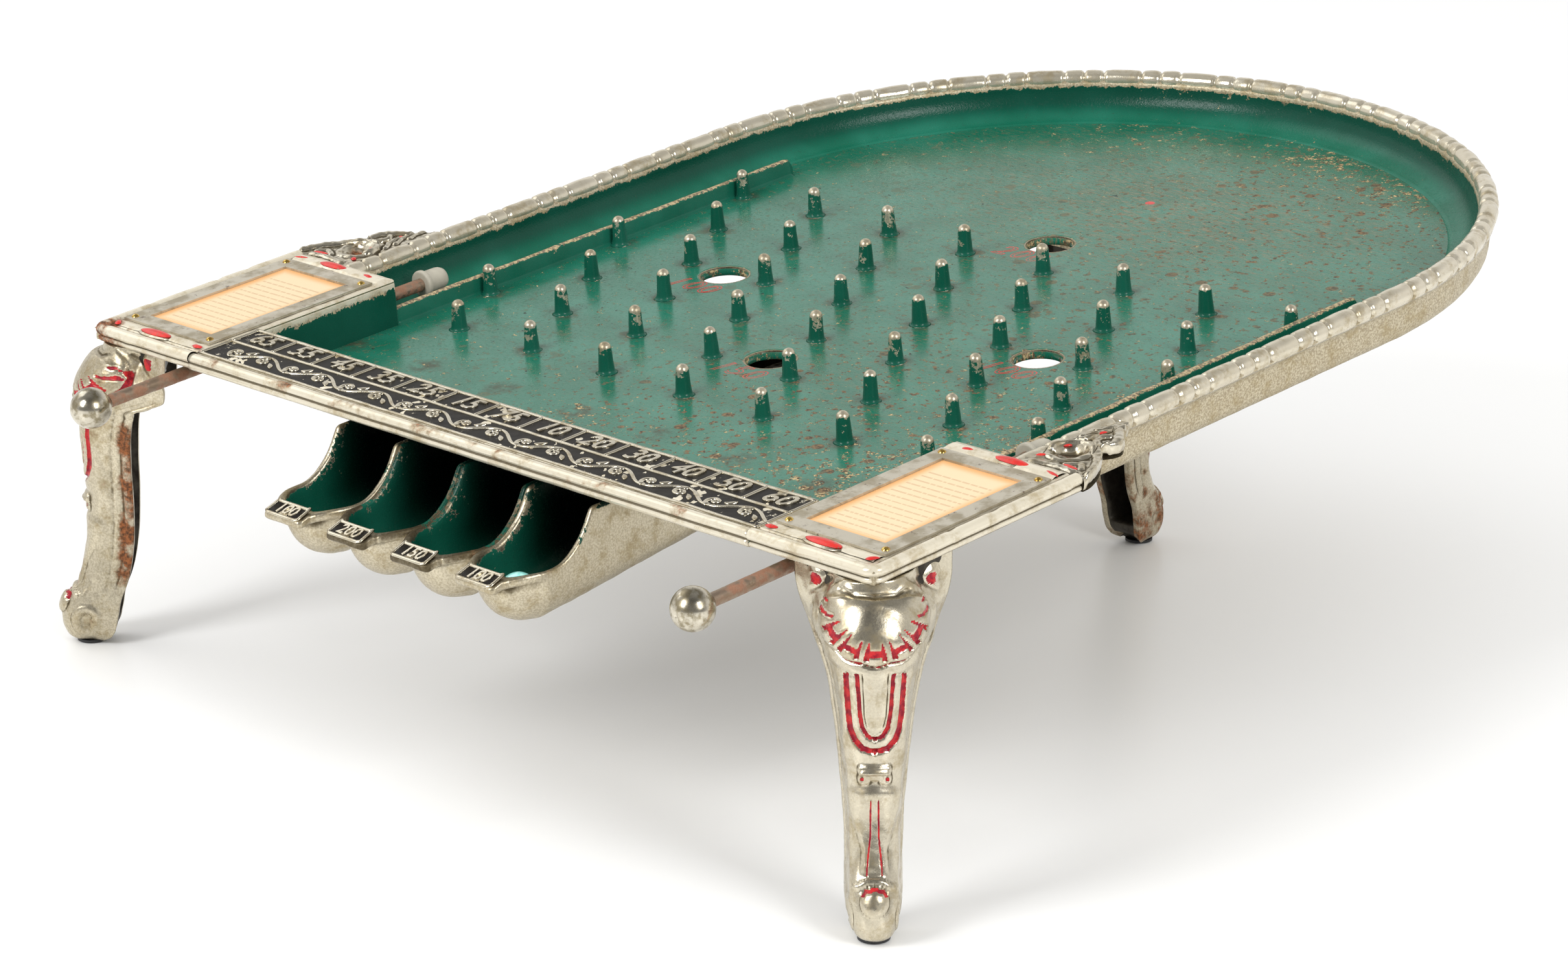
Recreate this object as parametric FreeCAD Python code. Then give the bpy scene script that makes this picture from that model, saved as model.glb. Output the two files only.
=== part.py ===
# A tabletop bagatelle game: a nickelled cast-iron tray with a green playfield, standing on three legs.
# Lengths are millimetres. The board is drawn flat, with x across, y towards the rear and z up from the
# playfield, measured from the middle of the front row of pegs. It is then tipped to its slope and set
# on its legs, with +Z up and the origin under the middle of the whole game, on the table.
import FreeCAD
import Part
import math
import os
from FreeCAD import Vector

os.makedirs("parts", exist_ok=True)

# Stance
board_slope = 5.24
board_height = 137.3

# Pegs, in staggered rows
peg_pitch = 48.0
row_pitch = 40.9
pegs_in_row = [7, 8, 7, 8, 7, 8]
peg_height = 14.5
peg_base_radius = 3.35
peg_tip_radius = 2.8

# Playfield, its lanes and its wall
floor_thickness = 4.0
peg_to_fence = 0.25
fence_thickness = 3.6
fence_height = 8.4
fence_end_y = 242.0
fence_nose = 3.0
marble_radius = 8.0
lane_inner_clearance = 2.1
lane_outer_clearance = 14.7
wall_fillet = 14.0
wall_top_width = 5.5
wall_draft = 2.0
rim_height = 22.0
bend_centre_y = 228.0

# Bead and reel rim
bead_radius = 4.6
bead_end_radius = 3.8
bead_seat = 2.2
long_bead = 19.0
short_bead = 9.8
bead_gap = 0.5

# Scoring holes
hole_radius = 11.3
outer_hole_x = 96.0
outer_hole_y = 120.0
near_hole_y = 53.0
far_hole_y = 236.0

# Front section: score panel and the two corner blocks
block_width = 68.4
front_length = 132.0
block_rear_y = -12.5
plate_thickness = 4.0
rail_bottom = 9.6
rail_thickness = 10.0
rail_round = 5.0
rail_chamfer = 1.5
rod_notch_gap = 1.2
inner_wall = 4.0
strip_depth = 40.8
strip_name_depth = 18.7
strip_raise = 1.0
border_width = 1.8
score_boxes = 13

# Scroll brackets behind the corner blocks
bracket_depth = 10.0
bracket_length = 58.0
bracket_waist_y = 39.0
dish_radius = 8.0
dish_depth = 4.5
bracket_gap = 0.1
bracket_reaches = {"waist": 0.48, "lobe_end": 0.72, "small_middle": 0.58, "small_end": 0.30}
bracket_lobe_middle_y = 11.0
bracket_lobe_end_y = 22.0
bracket_small_middle_y = 48.5
bracket_small_end_y = 55.0
bracket_corner_inset = 1.5
dish_edge = 1.5
dish_back = 7.0

# Plungers
rod_radius = 3.0
running_fit = 0.05
plunger_rise = 0.64
plunger_travel = 25.0
knob_radius = 9.0
knob_reach = 43.7
knob_bore_depth = 8.0
tip_start = 26.9
tip_flange_radius = 6.0
tip_flange_length = 2.5
tip_radius = 5.3
tip_length = 14.4
tip_bore_depth = 6.0
tip_nose = 4.0
guide_web_depth = 32.0
guide_web_thickness = 6.0
collar_radius = 6.0
collar_length = 6.0
buffer_thickness = 1.5
pin_radius = 1.0
spring_radius = 4.9
wire_radius = 0.5
spring_turns = 11
seat_gap = 0.1

# Return cups and channel under the board
cup_pitch = 39.6
cup_wall = 4.0
cup_skin = 3.0
lip_height = -9.6
cup_bottom = -34.6
cup_centre_y = -152.0
cup_front_radius = 20.0
trough_nose = 0.9
trough_round = 0.85
marble_gap = 0.3
cup_rear_y = -60.0
channel_bottom = -24.8
divider_nose_y = -126.0
divider_sweep = [(5.0, 13.0), (12.7, 4.8), (22.3, 0.0)]
divider_foot = 4.0
trough_slope_run = 24.0
trough_slope_rise = 2.2
strip_gap = 0.5
lip_pad_flare = 5.0
lip_pad_root = 0.7
lip_pad_width = 21.6
lip_pad_reach = 3.8
lip_thickness = 3.5
channel_wall = 3.0
channel_rail = 10.5
channel_half_width = 13.0
near_pass = 2.0
far_lane = 1
channel_screw_recess = 6.0
under_gap = 0.2

# Legs
leg_corner_setback = 2.8
rear_leg_y = 294.0
leg_wall = 3.5
leg_foot_height = 30.0
leg_knee_depth = 35.3
leg_solid_foot = 10.0
leg_open_back = 12.0
rear_leg_overlap = 14.0
leg_flange = 5.0
rear_boss_height = 8.0
leg_screw_spread = 10.0
leg_screw_back = 26.0
leg_screw_clear = 0.3
screw_radius = 2.5
screw_head_radius = 4.4
screw_head_height = 2.6
screw_bore_gap = 0.15
leg_screw_depth = 7.0
boss_radius = 5.5
pad_radius = 6.5
pad_thickness = 1.2
foot_centre_out = 8.5

# Instruction cards and their frames
card_frame_width = 59.0
card_frame_length = 94.6
card_frame_thickness = 1.0
card_frame_border = 8.2
card_frame_rear_gap = 10.5
card_margin = 5.0
card_thickness = 0.4
card_recess = 0.5
card_slack = 0.3
pin_head_radius = 1.8
pin_head_height = 1.1
pin_shank_radius = 0.7
pin_shank_length = 3.6
pin_inset = 3.6

# Small screws that hold the cups and the channel under the playfield
small_screw_radius = 1.5
small_head_radius = 2.8
small_head_height = 1.6
small_screw_depth = 2.8
ear_radius = 6.0
ear_overlap = 1.5
post_overlap = 1.0
post_inset = 4.0
post_step = 26.0
far_post_step = 3.0
head_clear = 0.3
ear_thickness = 3.0

# Places that follow from the sizes above
play_half = (max(pegs_in_row) - 1) / 2 * peg_pitch + peg_base_radius + peg_to_fence
fence_outer = play_half + fence_thickness
plunger_x = fence_outer + marble_radius + lane_inner_clearance
plunger_z = marble_radius + plunger_rise
wall_inner = plunger_x + lane_outer_clearance
floor_half = wall_inner - wall_fillet
wall_outer = wall_inner + wall_top_width
bead_centre = wall_inner + bead_radius
rim_half = bead_centre + bead_radius
wall_top = rim_height - bead_radius - bead_seat
block_half = play_half + block_width
front_y = -front_length
strip_rear_y = front_y + strip_depth
block_top = rim_height
plate_under = block_top - plate_thickness
underside = -floor_thickness
card_frame_inner_x = play_half + (block_width - card_frame_width) / 4
card_frame_rear_y = block_rear_y - card_frame_rear_gap
tip_y = block_rear_y + tip_start
knob_y = front_y - knob_reach
slope = math.radians(board_slope)
row_y = [row_pitch * row for row in range(len(pegs_in_row))]
holes = [(-outer_hole_x, outer_hole_y), (0, far_hole_y), (0, near_hole_y), (outer_hole_x, outer_hole_y)]
inner_front_radius = cup_front_radius - cup_skin
cup_x = [cup_pitch * (cup - 1.5) for cup in range(4)]
corner_share = 1 - math.sqrt(0.5)
across = Vector(1, 0, 0)
forward = Vector(0, 1, 0)
up = Vector(0, 0, 1)


def box(x0, x1, y0, y1, z0, z1):
    return Part.makeBox(x1 - x0, y1 - y0, z1 - z0, Vector(x0, y0, z0))


def face_of(points):
    return Part.Face(Part.makePolygon(points + [points[0]]))


def prism(outline, low, high):
    """A flat outline of (x, y) points, raised from one height to another."""
    face = face_of([Vector(x, y, low) for x, y in outline])
    return face.extrude(Vector(0, 0, high - low))


def side_prism(outline, left, right):
    """A side view of (y, z) points, drawn out across the board."""
    face = face_of([Vector(left, y, z) for y, z in outline])
    return face.extrude(Vector(right - left, 0, 0))


def wire_prism(edges, sweep):
    return Part.Face(Part.Wire(edges)).extrude(sweep)


def line(a, b):
    return Part.LineSegment(a, b).toShape()


def arc(a, b, c):
    return Part.Arc(a, b, c).toShape()


def upright(radius, low, high, x, y):
    return Part.makeCylinder(radius, high - low, Vector(x, y, low))


def along_rod(radius, start, end):
    """A round bar or bore on the right-hand plunger's axis."""
    return Part.makeCylinder(radius, end - start, Vector(plunger_x, start, plunger_z), forward)


def mirrored(shape):
    return shape.mirror(Vector(0, 0, 0), across)


def joined(shapes):
    first = shapes[0]
    return first.multiFuse(shapes[1:]).removeSplitter() if len(shapes) > 1 else first


def make_floor():
    """The flat of the playfield, with its four holes and the boss that takes the rear leg."""
    bend = Vector(0, bend_centre_y, underside)
    right_bend = Vector(floor_half, bend_centre_y, underside)
    left_bend = Vector(-floor_half, bend_centre_y, underside)
    corners = [(floor_half, block_rear_y), (play_half, block_rear_y), (play_half, strip_rear_y)]
    left_corners = [(-x, y) for x, y in reversed(corners)]
    points = [Vector(x, y, underside) for x, y in corners + left_corners]
    edges = [line(a, b) for a, b in zip(points, points[1:])]
    edges.append(line(points[-1], left_bend))
    edges.append(arc(left_bend, bend + Vector(0, floor_half, 0), right_bend))
    edges.append(line(right_bend, points[0]))
    plate = wire_prism(edges, Vector(0, 0, floor_thickness))
    _, boss_half, boss_back, _, _, boss_front = leg_sections[-1]
    boss = box(-boss_half, boss_half, rear_leg_y + boss_back, rear_leg_y + boss_front, rear_seat, underside)
    floor = plate.fuse(boss).removeSplitter()
    for x, y in holes:
        floor = floor.cut(upright(hole_radius, underside - 1, 1, x, y))
    for x, y in rear_leg_screws:
        bore_top = screw_bore_top(rear_seat)
        floor = floor.cut(upright(screw_radius + screw_bore_gap, rear_seat - 1, bore_top, x, y))
    for x, y in small_screw_places:
        top = underside + small_screw_depth + under_gap
        floor = floor.cut(upright(small_screw_radius + screw_bore_gap, underside - 1, top, x, y))
    return floor


def floor_strips():
    """The playfield in four strips that meet through the middles of the holes."""
    floor = make_floor()
    edges = [front_y] + sorted({y for _, y in holes}) + [bend_centre_y + wall_outer]
    strips = zip(strip_names, edges, edges[1:])
    return {name: floor.common(box(-wall_outer, wall_outer, near, far, rear_seat, 1))
            for name, near, far in strips}


def make_wall():
    """The horseshoe wall: a section with a large inner fillet, drawn along the sides and round the bend."""
    def section(y):
        inner_foot = Vector(floor_half, y, 0)
        turn = wall_fillet * math.sqrt(0.5)
        middle = Vector(floor_half + turn, y, wall_fillet - turn)
        inner = Vector(wall_inner, y, wall_fillet)
        top_inner = Vector(wall_inner, y, wall_top)
        top_outer = Vector(wall_outer, y, wall_top)
        foot_outer = Vector(wall_outer - wall_draft, y, underside)
        foot_inner = Vector(floor_half, y, underside)
        ring = [inner, top_inner, top_outer, foot_outer, foot_inner, inner_foot]
        edges = [arc(inner_foot, middle, inner)]
        edges += [line(a, b) for a, b in zip(ring, ring[1:])]
        return Part.Face(Part.Wire(edges))
    straight = section(block_rear_y).extrude(Vector(0, bend_centre_y - block_rear_y, 0))
    bend = section(bend_centre_y).revolve(Vector(0, bend_centre_y, 0), up, 180)
    return joined([straight, bend, mirrored(straight)])


def make_beads():
    """Barrel-shaped beads in the order long, short, short, seated on the wall from end to end."""
    side = bend_centre_y - block_rear_y
    total = 2 * side + math.pi * bead_centre
    pattern = [long_bead, short_bead, short_bead]
    repeats = round(total / sum(pattern))
    fit = total / (repeats * sum(pattern))
    beads = []
    start = 0.0
    for length in pattern * repeats:
        middle = start + length * fit / 2
        start += length * fit
        if middle < side:
            place, heading = Vector(bead_centre, block_rear_y + middle, 0), 90.0
        elif middle < total - side:
            turn = (middle - side) / bead_centre
            radial = Vector(math.cos(turn), math.sin(turn), 0)
            place, heading = Vector(0, bend_centre_y, 0) + radial * bead_centre, 90 + math.degrees(turn)
        else:
            place, heading = Vector(-bead_centre, bend_centre_y - (middle - total + side), 0), 270.0
        beads.append(barrel(length * fit - bead_gap, place, heading))
    return Part.makeCompound(beads)


def barrel(length, place, heading):
    half = length / 2
    ends = [Vector(-half, 0, bead_end_radius), Vector(half, 0, bead_end_radius)]
    edges = [arc(ends[0], Vector(0, 0, bead_radius), ends[1])]
    edges += [line(ends[1], Vector(half, 0, 0)), line(Vector(half, 0, 0), Vector(-half, 0, 0))]
    edges.append(line(Vector(-half, 0, 0), ends[0]))
    solid = Part.Face(Part.Wire(edges)).revolve(Vector(0, 0, 0), across, 360)
    keep = box(-half - 1, half + 1, -bead_radius - 1, bead_radius + 1, -bead_seat, bead_radius + 1)
    solid = solid.common(keep)
    solid.rotate(Vector(0, 0, 0), up, heading)
    solid.translate(place + Vector(0, 0, rim_height - bead_radius))
    return solid


def make_pegs():
    shoulder = peg_height - peg_tip_radius
    tip_turn = peg_tip_radius * math.sqrt(0.5)
    foot = Vector(peg_base_radius, 0, 0)
    neck = Vector(peg_tip_radius, 0, shoulder)
    round_middle = Vector(tip_turn, 0, shoulder + tip_turn)
    tip = Vector(0, 0, peg_height)
    centre = Vector(0, 0, 0)
    edges = [line(centre, foot), line(foot, neck), arc(neck, round_middle, tip), line(tip, centre)]
    peg = Part.Face(Part.Wire(edges)).revolve(Vector(0, 0, 0), up, 360)
    pegs = []
    for y, count in zip(row_y, pegs_in_row):
        for place in range(count):
            copy = peg.copy()
            copy.translate(Vector((place - (count - 1) / 2) * peg_pitch, y, 0))
            pegs.append(copy)
    return Part.makeCompound(pegs)


def make_fence():
    """The right-hand ball lane's fence, with its rear top corner cut back."""
    outline = [(block_rear_y, 0), (fence_end_y, 0), (fence_end_y, fence_height - fence_nose),
               (fence_end_y - fence_nose, fence_height), (block_rear_y, fence_height)]
    return side_prism(outline, play_half, fence_outer)


def rail_outline(face, inward, reach):
    """Cross-section of the moulded rail: (distance, height) points, from the outer face inwards."""
    turn = rail_round * corner_share
    points = [(rail_chamfer, rail_bottom), (0, rail_bottom + rail_chamfer), (0, block_top - rail_round)]
    points += [(turn, block_top - turn), (rail_round, block_top), (reach, block_top), (reach, rail_bottom)]
    return [(face + inward * distance, height) for distance, height in points]


def rail_solid(outline, place):
    """The rail's section as a face, with a true arc over its shoulder."""
    points = [place(distance, height) for distance, height in outline]
    edges = [line(points[0], points[1]), line(points[1], points[2]), arc(points[2], points[3], points[4])]
    edges += [line(points[4], points[5]), line(points[5], points[6]), line(points[6], points[0])]
    return Part.Face(Part.Wire(edges))


def front_profile(left, right, reach):
    outline = rail_outline(front_y, 1, reach)
    face = rail_solid(outline, lambda distance, height: Vector(left, distance, height))
    return face.extrude(Vector(right - left, 0, 0))


def make_corner_block():
    """The right-hand block: plate, moulded rails, inner and rear walls and the plunger's front guide."""
    side_outline = rail_outline(block_half, -1, block_width)
    side_face = rail_solid(side_outline, lambda distance, height: Vector(distance, front_y, height))
    side = side_face.extrude(Vector(0, block_rear_y - front_y, 0))
    body = front_profile(play_half, block_half, block_rear_y - front_y).common(side)
    hollow_left = play_half + inner_wall
    hollow_right = block_half - rail_thickness
    hollow_front = front_y + rail_thickness
    hollow_rear = block_rear_y - inner_wall
    body = body.cut(box(hollow_left, hollow_right, hollow_front, hollow_rear, rail_bottom - 1, plate_under))
    inner_drop = box(play_half, hollow_left, strip_rear_y, block_rear_y, underside, rail_bottom)
    rear_drop = box(play_half, wall_outer - wall_draft, hollow_rear, block_rear_y, underside, rail_bottom)
    web_front = front_y + guide_web_depth
    web_rear = web_front + guide_web_thickness
    web_right = plunger_x + collar_radius + inner_wall
    web = box(hollow_left, web_right, web_front, web_rear, plunger_z - 2 * rod_radius, plate_under)
    bosses = [upright(boss_radius, rail_bottom, plate_under, x, y) for x, y in front_leg_screws]
    body = joined([body, inner_drop, rear_drop, web] + bosses)
    body = body.cut(along_rod(rod_radius + running_fit, web_front - 1, block_rear_y + 1))
    notch_half = rod_radius + rod_notch_gap
    notch = box(plunger_x - notch_half, plunger_x + notch_half, front_y - 1, hollow_front, 0, plunger_z)
    body = body.cut(along_rod(notch_half, front_y - 1, hollow_front)).cut(notch)
    for x, y in front_leg_screws:
        bore_top = screw_bore_top(rail_bottom)
        body = body.cut(upright(screw_radius + screw_bore_gap, rail_bottom - 1, bore_top, x, y))
    card_left, card_right, card_front, card_rear = card_extent()
    body = body.cut(box(card_left - card_slack, card_right + card_slack, card_front - card_slack,
                        card_rear + card_slack, block_top - card_recess, block_top + 1))
    for x, y in frame_pin_places:
        body = body.cut(upright(pin_shank_radius + running_fit, plate_under - 1, block_top + 1, x, y))
    return body


def make_score_panel():
    """The raised strip between the blocks, with a bordered box for each score and a band before them."""
    rail = front_profile(-play_half, play_half, strip_depth)
    hollow = box(-play_half - 1, play_half + 1, front_y + rail_thickness, strip_rear_y - inner_wall,
                 rail_bottom - 1, plate_under)
    rear = box(-play_half, play_half, strip_rear_y - inner_wall, strip_rear_y, underside, rail_bottom)
    name_line = front_y + rail_round + strip_name_depth
    top = block_top + strip_raise
    lines = [(front_y + rail_round, border_width), (name_line, border_width),
             (strip_rear_y - border_width, border_width)]
    borders = [box(-play_half, play_half, y, y + width, block_top, top) for y, width in lines]
    box_pitch = (2 * play_half - border_width) / score_boxes
    for edge in range(score_boxes + 1):
        x = -play_half + edge * box_pitch
        borders.append(box(x, x + border_width, name_line, strip_rear_y, block_top, top))
    for x in (-play_half, play_half - border_width):
        borders.append(box(x, x + border_width, front_y + rail_round, name_line, block_top, top))
    return joined([rail.cut(hollow), rear] + borders)


def make_bracket():
    """The right-hand scroll bracket: a big lobe, a waist and a small lobe that runs out along the rim."""
    inner = rim_half + bracket_gap
    reach = block_half - inner
    rear = block_rear_y + bracket_length
    low = block_top - bracket_depth
    at = {name: inner + share * reach for name, share in bracket_reaches.items()}
    waist = Vector(at["waist"], block_rear_y + bracket_waist_y, low)
    root = Vector(inner, block_rear_y, low)
    corner = Vector(block_half, block_rear_y, low)
    lobe_end = Vector(at["lobe_end"], block_rear_y + bracket_lobe_end_y, low)
    lobe_middle = Vector(block_half - bracket_corner_inset, block_rear_y + bracket_lobe_middle_y, low)
    small_middle = Vector(at["small_middle"], block_rear_y + bracket_small_middle_y, low)
    small_end = Vector(at["small_end"], block_rear_y + bracket_small_end_y, low)
    tail = Vector(inner, rear, low)
    edges = [line(root, corner), arc(corner, lobe_middle, lobe_end), line(lobe_end, waist),
             arc(waist, small_middle, small_end), line(small_end, tail), line(tail, root)]
    solid = wire_prism(edges, Vector(0, 0, bracket_depth))
    ball = (dish_radius ** 2 + dish_depth ** 2) / (2 * dish_depth)
    dish_place = Vector(inner + dish_radius + dish_edge, block_rear_y + dish_radius + dish_back,
                        block_top - dish_depth + ball)
    dish = Part.makeSphere(ball, dish_place)
    return solid.cut(dish)


def card_extent():
    """Left, right, front and rear edges of the right-hand card."""
    left = card_frame_inner_x + card_margin
    right = card_frame_inner_x + card_frame_width - card_margin
    front = card_frame_rear_y - card_frame_length + card_margin
    rear = card_frame_rear_y - card_margin
    return left, right, front, rear


def make_card():
    left, right, front, rear = card_extent()
    base = block_top - card_recess
    return box(left, right, front, rear, base, base + card_thickness)


def make_card_frame():
    outer_right = card_frame_inner_x + card_frame_width
    front = card_frame_rear_y - card_frame_length
    top = block_top + card_frame_thickness
    frame = box(card_frame_inner_x, outer_right, front, card_frame_rear_y, block_top, top)
    frame = frame.cut(box(card_frame_inner_x + card_frame_border, outer_right - card_frame_border,
                          front + card_frame_border, card_frame_rear_y - card_frame_border,
                          block_top - 1, top + 1))
    for x, y in frame_pin_places:
        frame = frame.cut(upright(pin_shank_radius + running_fit, block_top - 1, top + 1, x, y))
    return frame


def make_frame_pin(x, y):
    seat = block_top + card_frame_thickness
    ball = (pin_head_radius ** 2 + pin_head_height ** 2) / (2 * pin_head_height)
    dome = Part.makeSphere(ball, Vector(x, y, seat + pin_head_height - ball))
    dome = dome.common(upright(2 * pin_head_radius, seat, seat + pin_head_height + 1, x, y))
    return dome.fuse(upright(pin_shank_radius, seat - pin_shank_length, seat, x, y)).removeSplitter()


def make_rod():
    rod = along_rod(rod_radius, knob_y - knob_radius + knob_bore_depth, tip_y + tip_bore_depth)
    return rod.cut(cross_pin_at(running_fit))


def make_knob():
    ball = Part.makeSphere(knob_radius, Vector(plunger_x, knob_y, plunger_z))
    floor_y = knob_y - knob_radius + knob_bore_depth - seat_gap
    return ball.cut(along_rod(rod_radius + running_fit, floor_y, knob_y + knob_radius + 1))


def make_tip():
    """The rubber tip: a flange, a short barrel and a rounded nose, bored for the rod."""
    end = tip_y + tip_length
    ball = (tip_radius ** 2 + tip_nose ** 2) / (2 * tip_nose)
    rounding = Part.makeSphere(ball, Vector(plunger_x, end - ball, plunger_z))
    rounding = rounding.common(along_rod(tip_radius, end - tip_nose, end + 1))
    straight = along_rod(tip_radius, tip_y, end - tip_nose)
    flange = along_rod(tip_flange_radius, tip_y, tip_y + tip_flange_length)
    bore = along_rod(rod_radius + running_fit, tip_y - 1, tip_y + tip_bore_depth + seat_gap)
    return joined([straight, rounding, flange]).cut(bore)


def collar_start():
    return block_rear_y - inner_wall - buffer_thickness - collar_length - 2 * seat_gap


def cross_pin_at(clearance):
    y = collar_start() + collar_length / 2
    length = 2 * collar_radius + 2 * clearance
    return Part.makeCylinder(pin_radius + clearance, length,
                             Vector(plunger_x, y, plunger_z - length / 2), up)


def make_collar():
    start = collar_start()
    ring = along_rod(collar_radius, start, start + collar_length)
    return ring.cut(along_rod(rod_radius + running_fit, start - 1, start + collar_length + 1)).cut(
        cross_pin_at(running_fit))


def make_buffer():
    start = collar_start() + collar_length + seat_gap
    washer = along_rod(collar_radius, start, start + buffer_thickness)
    return washer.cut(along_rod(rod_radius + running_fit, start - 1, start + buffer_thickness + 1))


def helix_point(start, lead, turn):
    angle = 2 * math.pi * turn
    return Vector(plunger_x + spring_radius * math.cos(angle), start + lead * turn,
                  plunger_z + spring_radius * math.sin(angle))


def helix_heading(lead, turn):
    angle = 2 * math.pi * turn
    heading = Vector(-spring_radius * math.sin(angle), lead / (2 * math.pi), spring_radius * math.cos(angle))
    return heading.normalize()


def tangent_arc(start, corner, end):
    """The arc that leaves start towards the corner and reaches end from it."""
    chord_middle = (start + end) * 0.5
    rise = corner - chord_middle
    half = start.distanceToPoint(end) / 2
    sag = half * math.tan(math.atan2(rise.Length, half) / 2)
    return arc(start, chord_middle + rise.normalize() * sag, end)


def make_spring():
    """An open coil between the guide web and the collar, as tangent arcs of a quarter turn each."""
    start = front_y + guide_web_depth + guide_web_thickness + wire_radius + 3 * seat_gap
    end = collar_start() - wire_radius - 3 * seat_gap
    lead = (end - start) / spring_turns
    edges = []
    quarters = 4 * spring_turns
    for step in range(quarters):
        a, b = helix_point(start, lead, step / 4), helix_point(start, lead, (step + 1) / 4)
        ta, tb = helix_heading(lead, step / 4), helix_heading(lead, (step + 1) / 4)
        span, both, bend = b - a, ta + tb, 2 * (1 - ta.dot(tb))
        reach = (math.sqrt(span.dot(both) ** 2 + bend * span.dot(span)) - span.dot(both)) / bend
        corner_a, corner_b = a + ta * reach, b - tb * reach
        middle = (corner_a + corner_b) * 0.5
        edges += [tangent_arc(a, corner_a, middle), tangent_arc(middle, corner_b, b)]
    path = Part.Wire(edges)
    heading = helix_heading(lead, 0)
    section = Part.Wire(Part.makeCircle(wire_radius, helix_point(start, lead, 0), heading))
    coil = path.makePipeShell([section], True, False)
    print("spring: lead", round(lead, 2), "gap between turns", round(lead - 2 * wire_radius, 2),
          "when pulled", round(lead - plunger_travel / spring_turns - 2 * wire_radius, 2))
    return coil


def capsule_front(x, radius, y):
    """Plan of a cup: straight sides from the rear and a half-round front."""
    left, right = Vector(x - radius, y, 0), Vector(x + radius, y, 0)
    rear_left, rear_right = Vector(x - radius, cup_rear_y, 0), Vector(x + radius, cup_rear_y, 0)
    return [line(rear_left, left), arc(left, Vector(x, y - radius, 0), right),
            line(right, rear_right), line(rear_right, rear_left)]


def trough(x, half, bottom_offset, front_radius, top):
    """A round-bottomed trough along the board that deepens towards a half-round front."""
    below = Vector(0, 0, cup_bottom - 1)
    plan = wire_prism([edge.translated(below) for edge in
                       capsule_front(x, half, cup_centre_y + half - front_radius)],
                      Vector(0, 0, 3 * rim_height - cup_bottom))
    floor = cup_bottom + bottom_offset
    rear_floor = channel_bottom + bottom_offset
    nose = front_radius * trough_nose
    front = cup_centre_y - front_radius
    low_y = front + nose
    points = [Vector(x - half, cup_rear_y, top), Vector(x - half, cup_rear_y, rear_floor),
              Vector(x - half, low_y + trough_slope_run, floor + trough_slope_rise),
              Vector(x - half, low_y, floor)]
    bow = Vector(x - half, front + nose * corner_share, floor + nose * corner_share)
    lip = Vector(x - half, front, floor + nose)
    lip_top = Vector(x - half, front, top)
    edges = [line(a, b) for a, b in zip(points, points[1:])]
    edges += [arc(points[-1], bow, lip), line(lip, lip_top), line(lip_top, points[0])]
    side = wire_prism(edges, Vector(2 * half, 0, 0))
    round_radius = half * trough_round
    flat = half - round_radius
    turn = round_radius * corner_share
    y = front - 1
    high = 2 * rim_height

    def cross(across_x, height):
        return Vector(x + across_x, y, height)
    lift = floor + round_radius
    outline = [arc(cross(-half, lift), cross(-half + turn, floor + turn), cross(-flat, floor)),
               line(cross(-flat, floor), cross(flat, floor)),
               arc(cross(flat, floor), cross(half - turn, floor + turn), cross(half, lift)),
               line(cross(half, lift), cross(half, high)), line(cross(half, high), cross(-half, high)),
               line(cross(-half, high), cross(-half, lift))]
    section = wire_prism(outline, Vector(0, cup_rear_y - y, 0))
    return plan.common(side).common(section)


def make_cups():
    """Four cups parted by curved dividers that rise to the rail, with a flat pad on each lip."""
    half = cup_pitch / 2
    outers = [trough(x, half, 0, cup_front_radius, lip_height) for x in cup_x]
    end_x = 2 * cup_pitch
    strip_front = strip_rear_y - inner_wall
    top = rail_bottom
    low = underside - under_gap
    nose = [(divider_nose_y, top)]
    nose += [(divider_nose_y - out, lip_height + rise) for out, rise in divider_sweep]
    nose.append((cup_centre_y, lip_height - divider_foot))
    rear = [(cup_rear_y, channel_bottom + cup_skin), (cup_rear_y, low), (strip_front - strip_gap, low),
            (strip_front - strip_gap, top)]
    outline = nose + rear
    dividers = []
    for edge in range(5):
        x = (edge - 2) * cup_pitch
        left = min(max(x - cup_wall / 2, -end_x), end_x - cup_wall)
        dividers.append(side_prism(outline, left, left + cup_wall))
    pads = []
    for x in cup_x:
        pad_front = cup_centre_y - cup_front_radius - lip_pad_reach
        root_y = cup_centre_y - half * lip_pad_root
        near, far = lip_pad_width / 2, lip_pad_width / 2 + lip_pad_flare
        outline = [(x - far, root_y), (x - near, pad_front), (x + near, pad_front), (x + far, root_y)]
        pads.append(prism(outline, lip_height - lip_thickness, lip_height))
    ears = [upright(ear_radius, low - ear_thickness, low, x, y) for x, y in cup_screw_places]
    solid = joined(outers + dividers + pads + ears)
    inner_half = half - cup_wall / 2
    for x in cup_x:
        solid = solid.cut(trough(x, inner_half, cup_skin, inner_front_radius, 2 * rim_height))
    for x, y in cup_screw_places:
        bore = upright(small_screw_radius + screw_bore_gap, low - ear_thickness - 1, low + 1, x, y)
        solid = solid.cut(bore)
    edges = [-ear_out - ear_radius, -cup_pitch, 0, cup_pitch, ear_out + ear_radius]
    return {"score_cup_" + str(cup + 1): solid.common(box(left, right, front_y - cup_pitch * 2, cup_rear_y,
                                                          cup_bottom, rim_height))
            for cup, (left, right) in enumerate(zip(edges, edges[1:]))}


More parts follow.
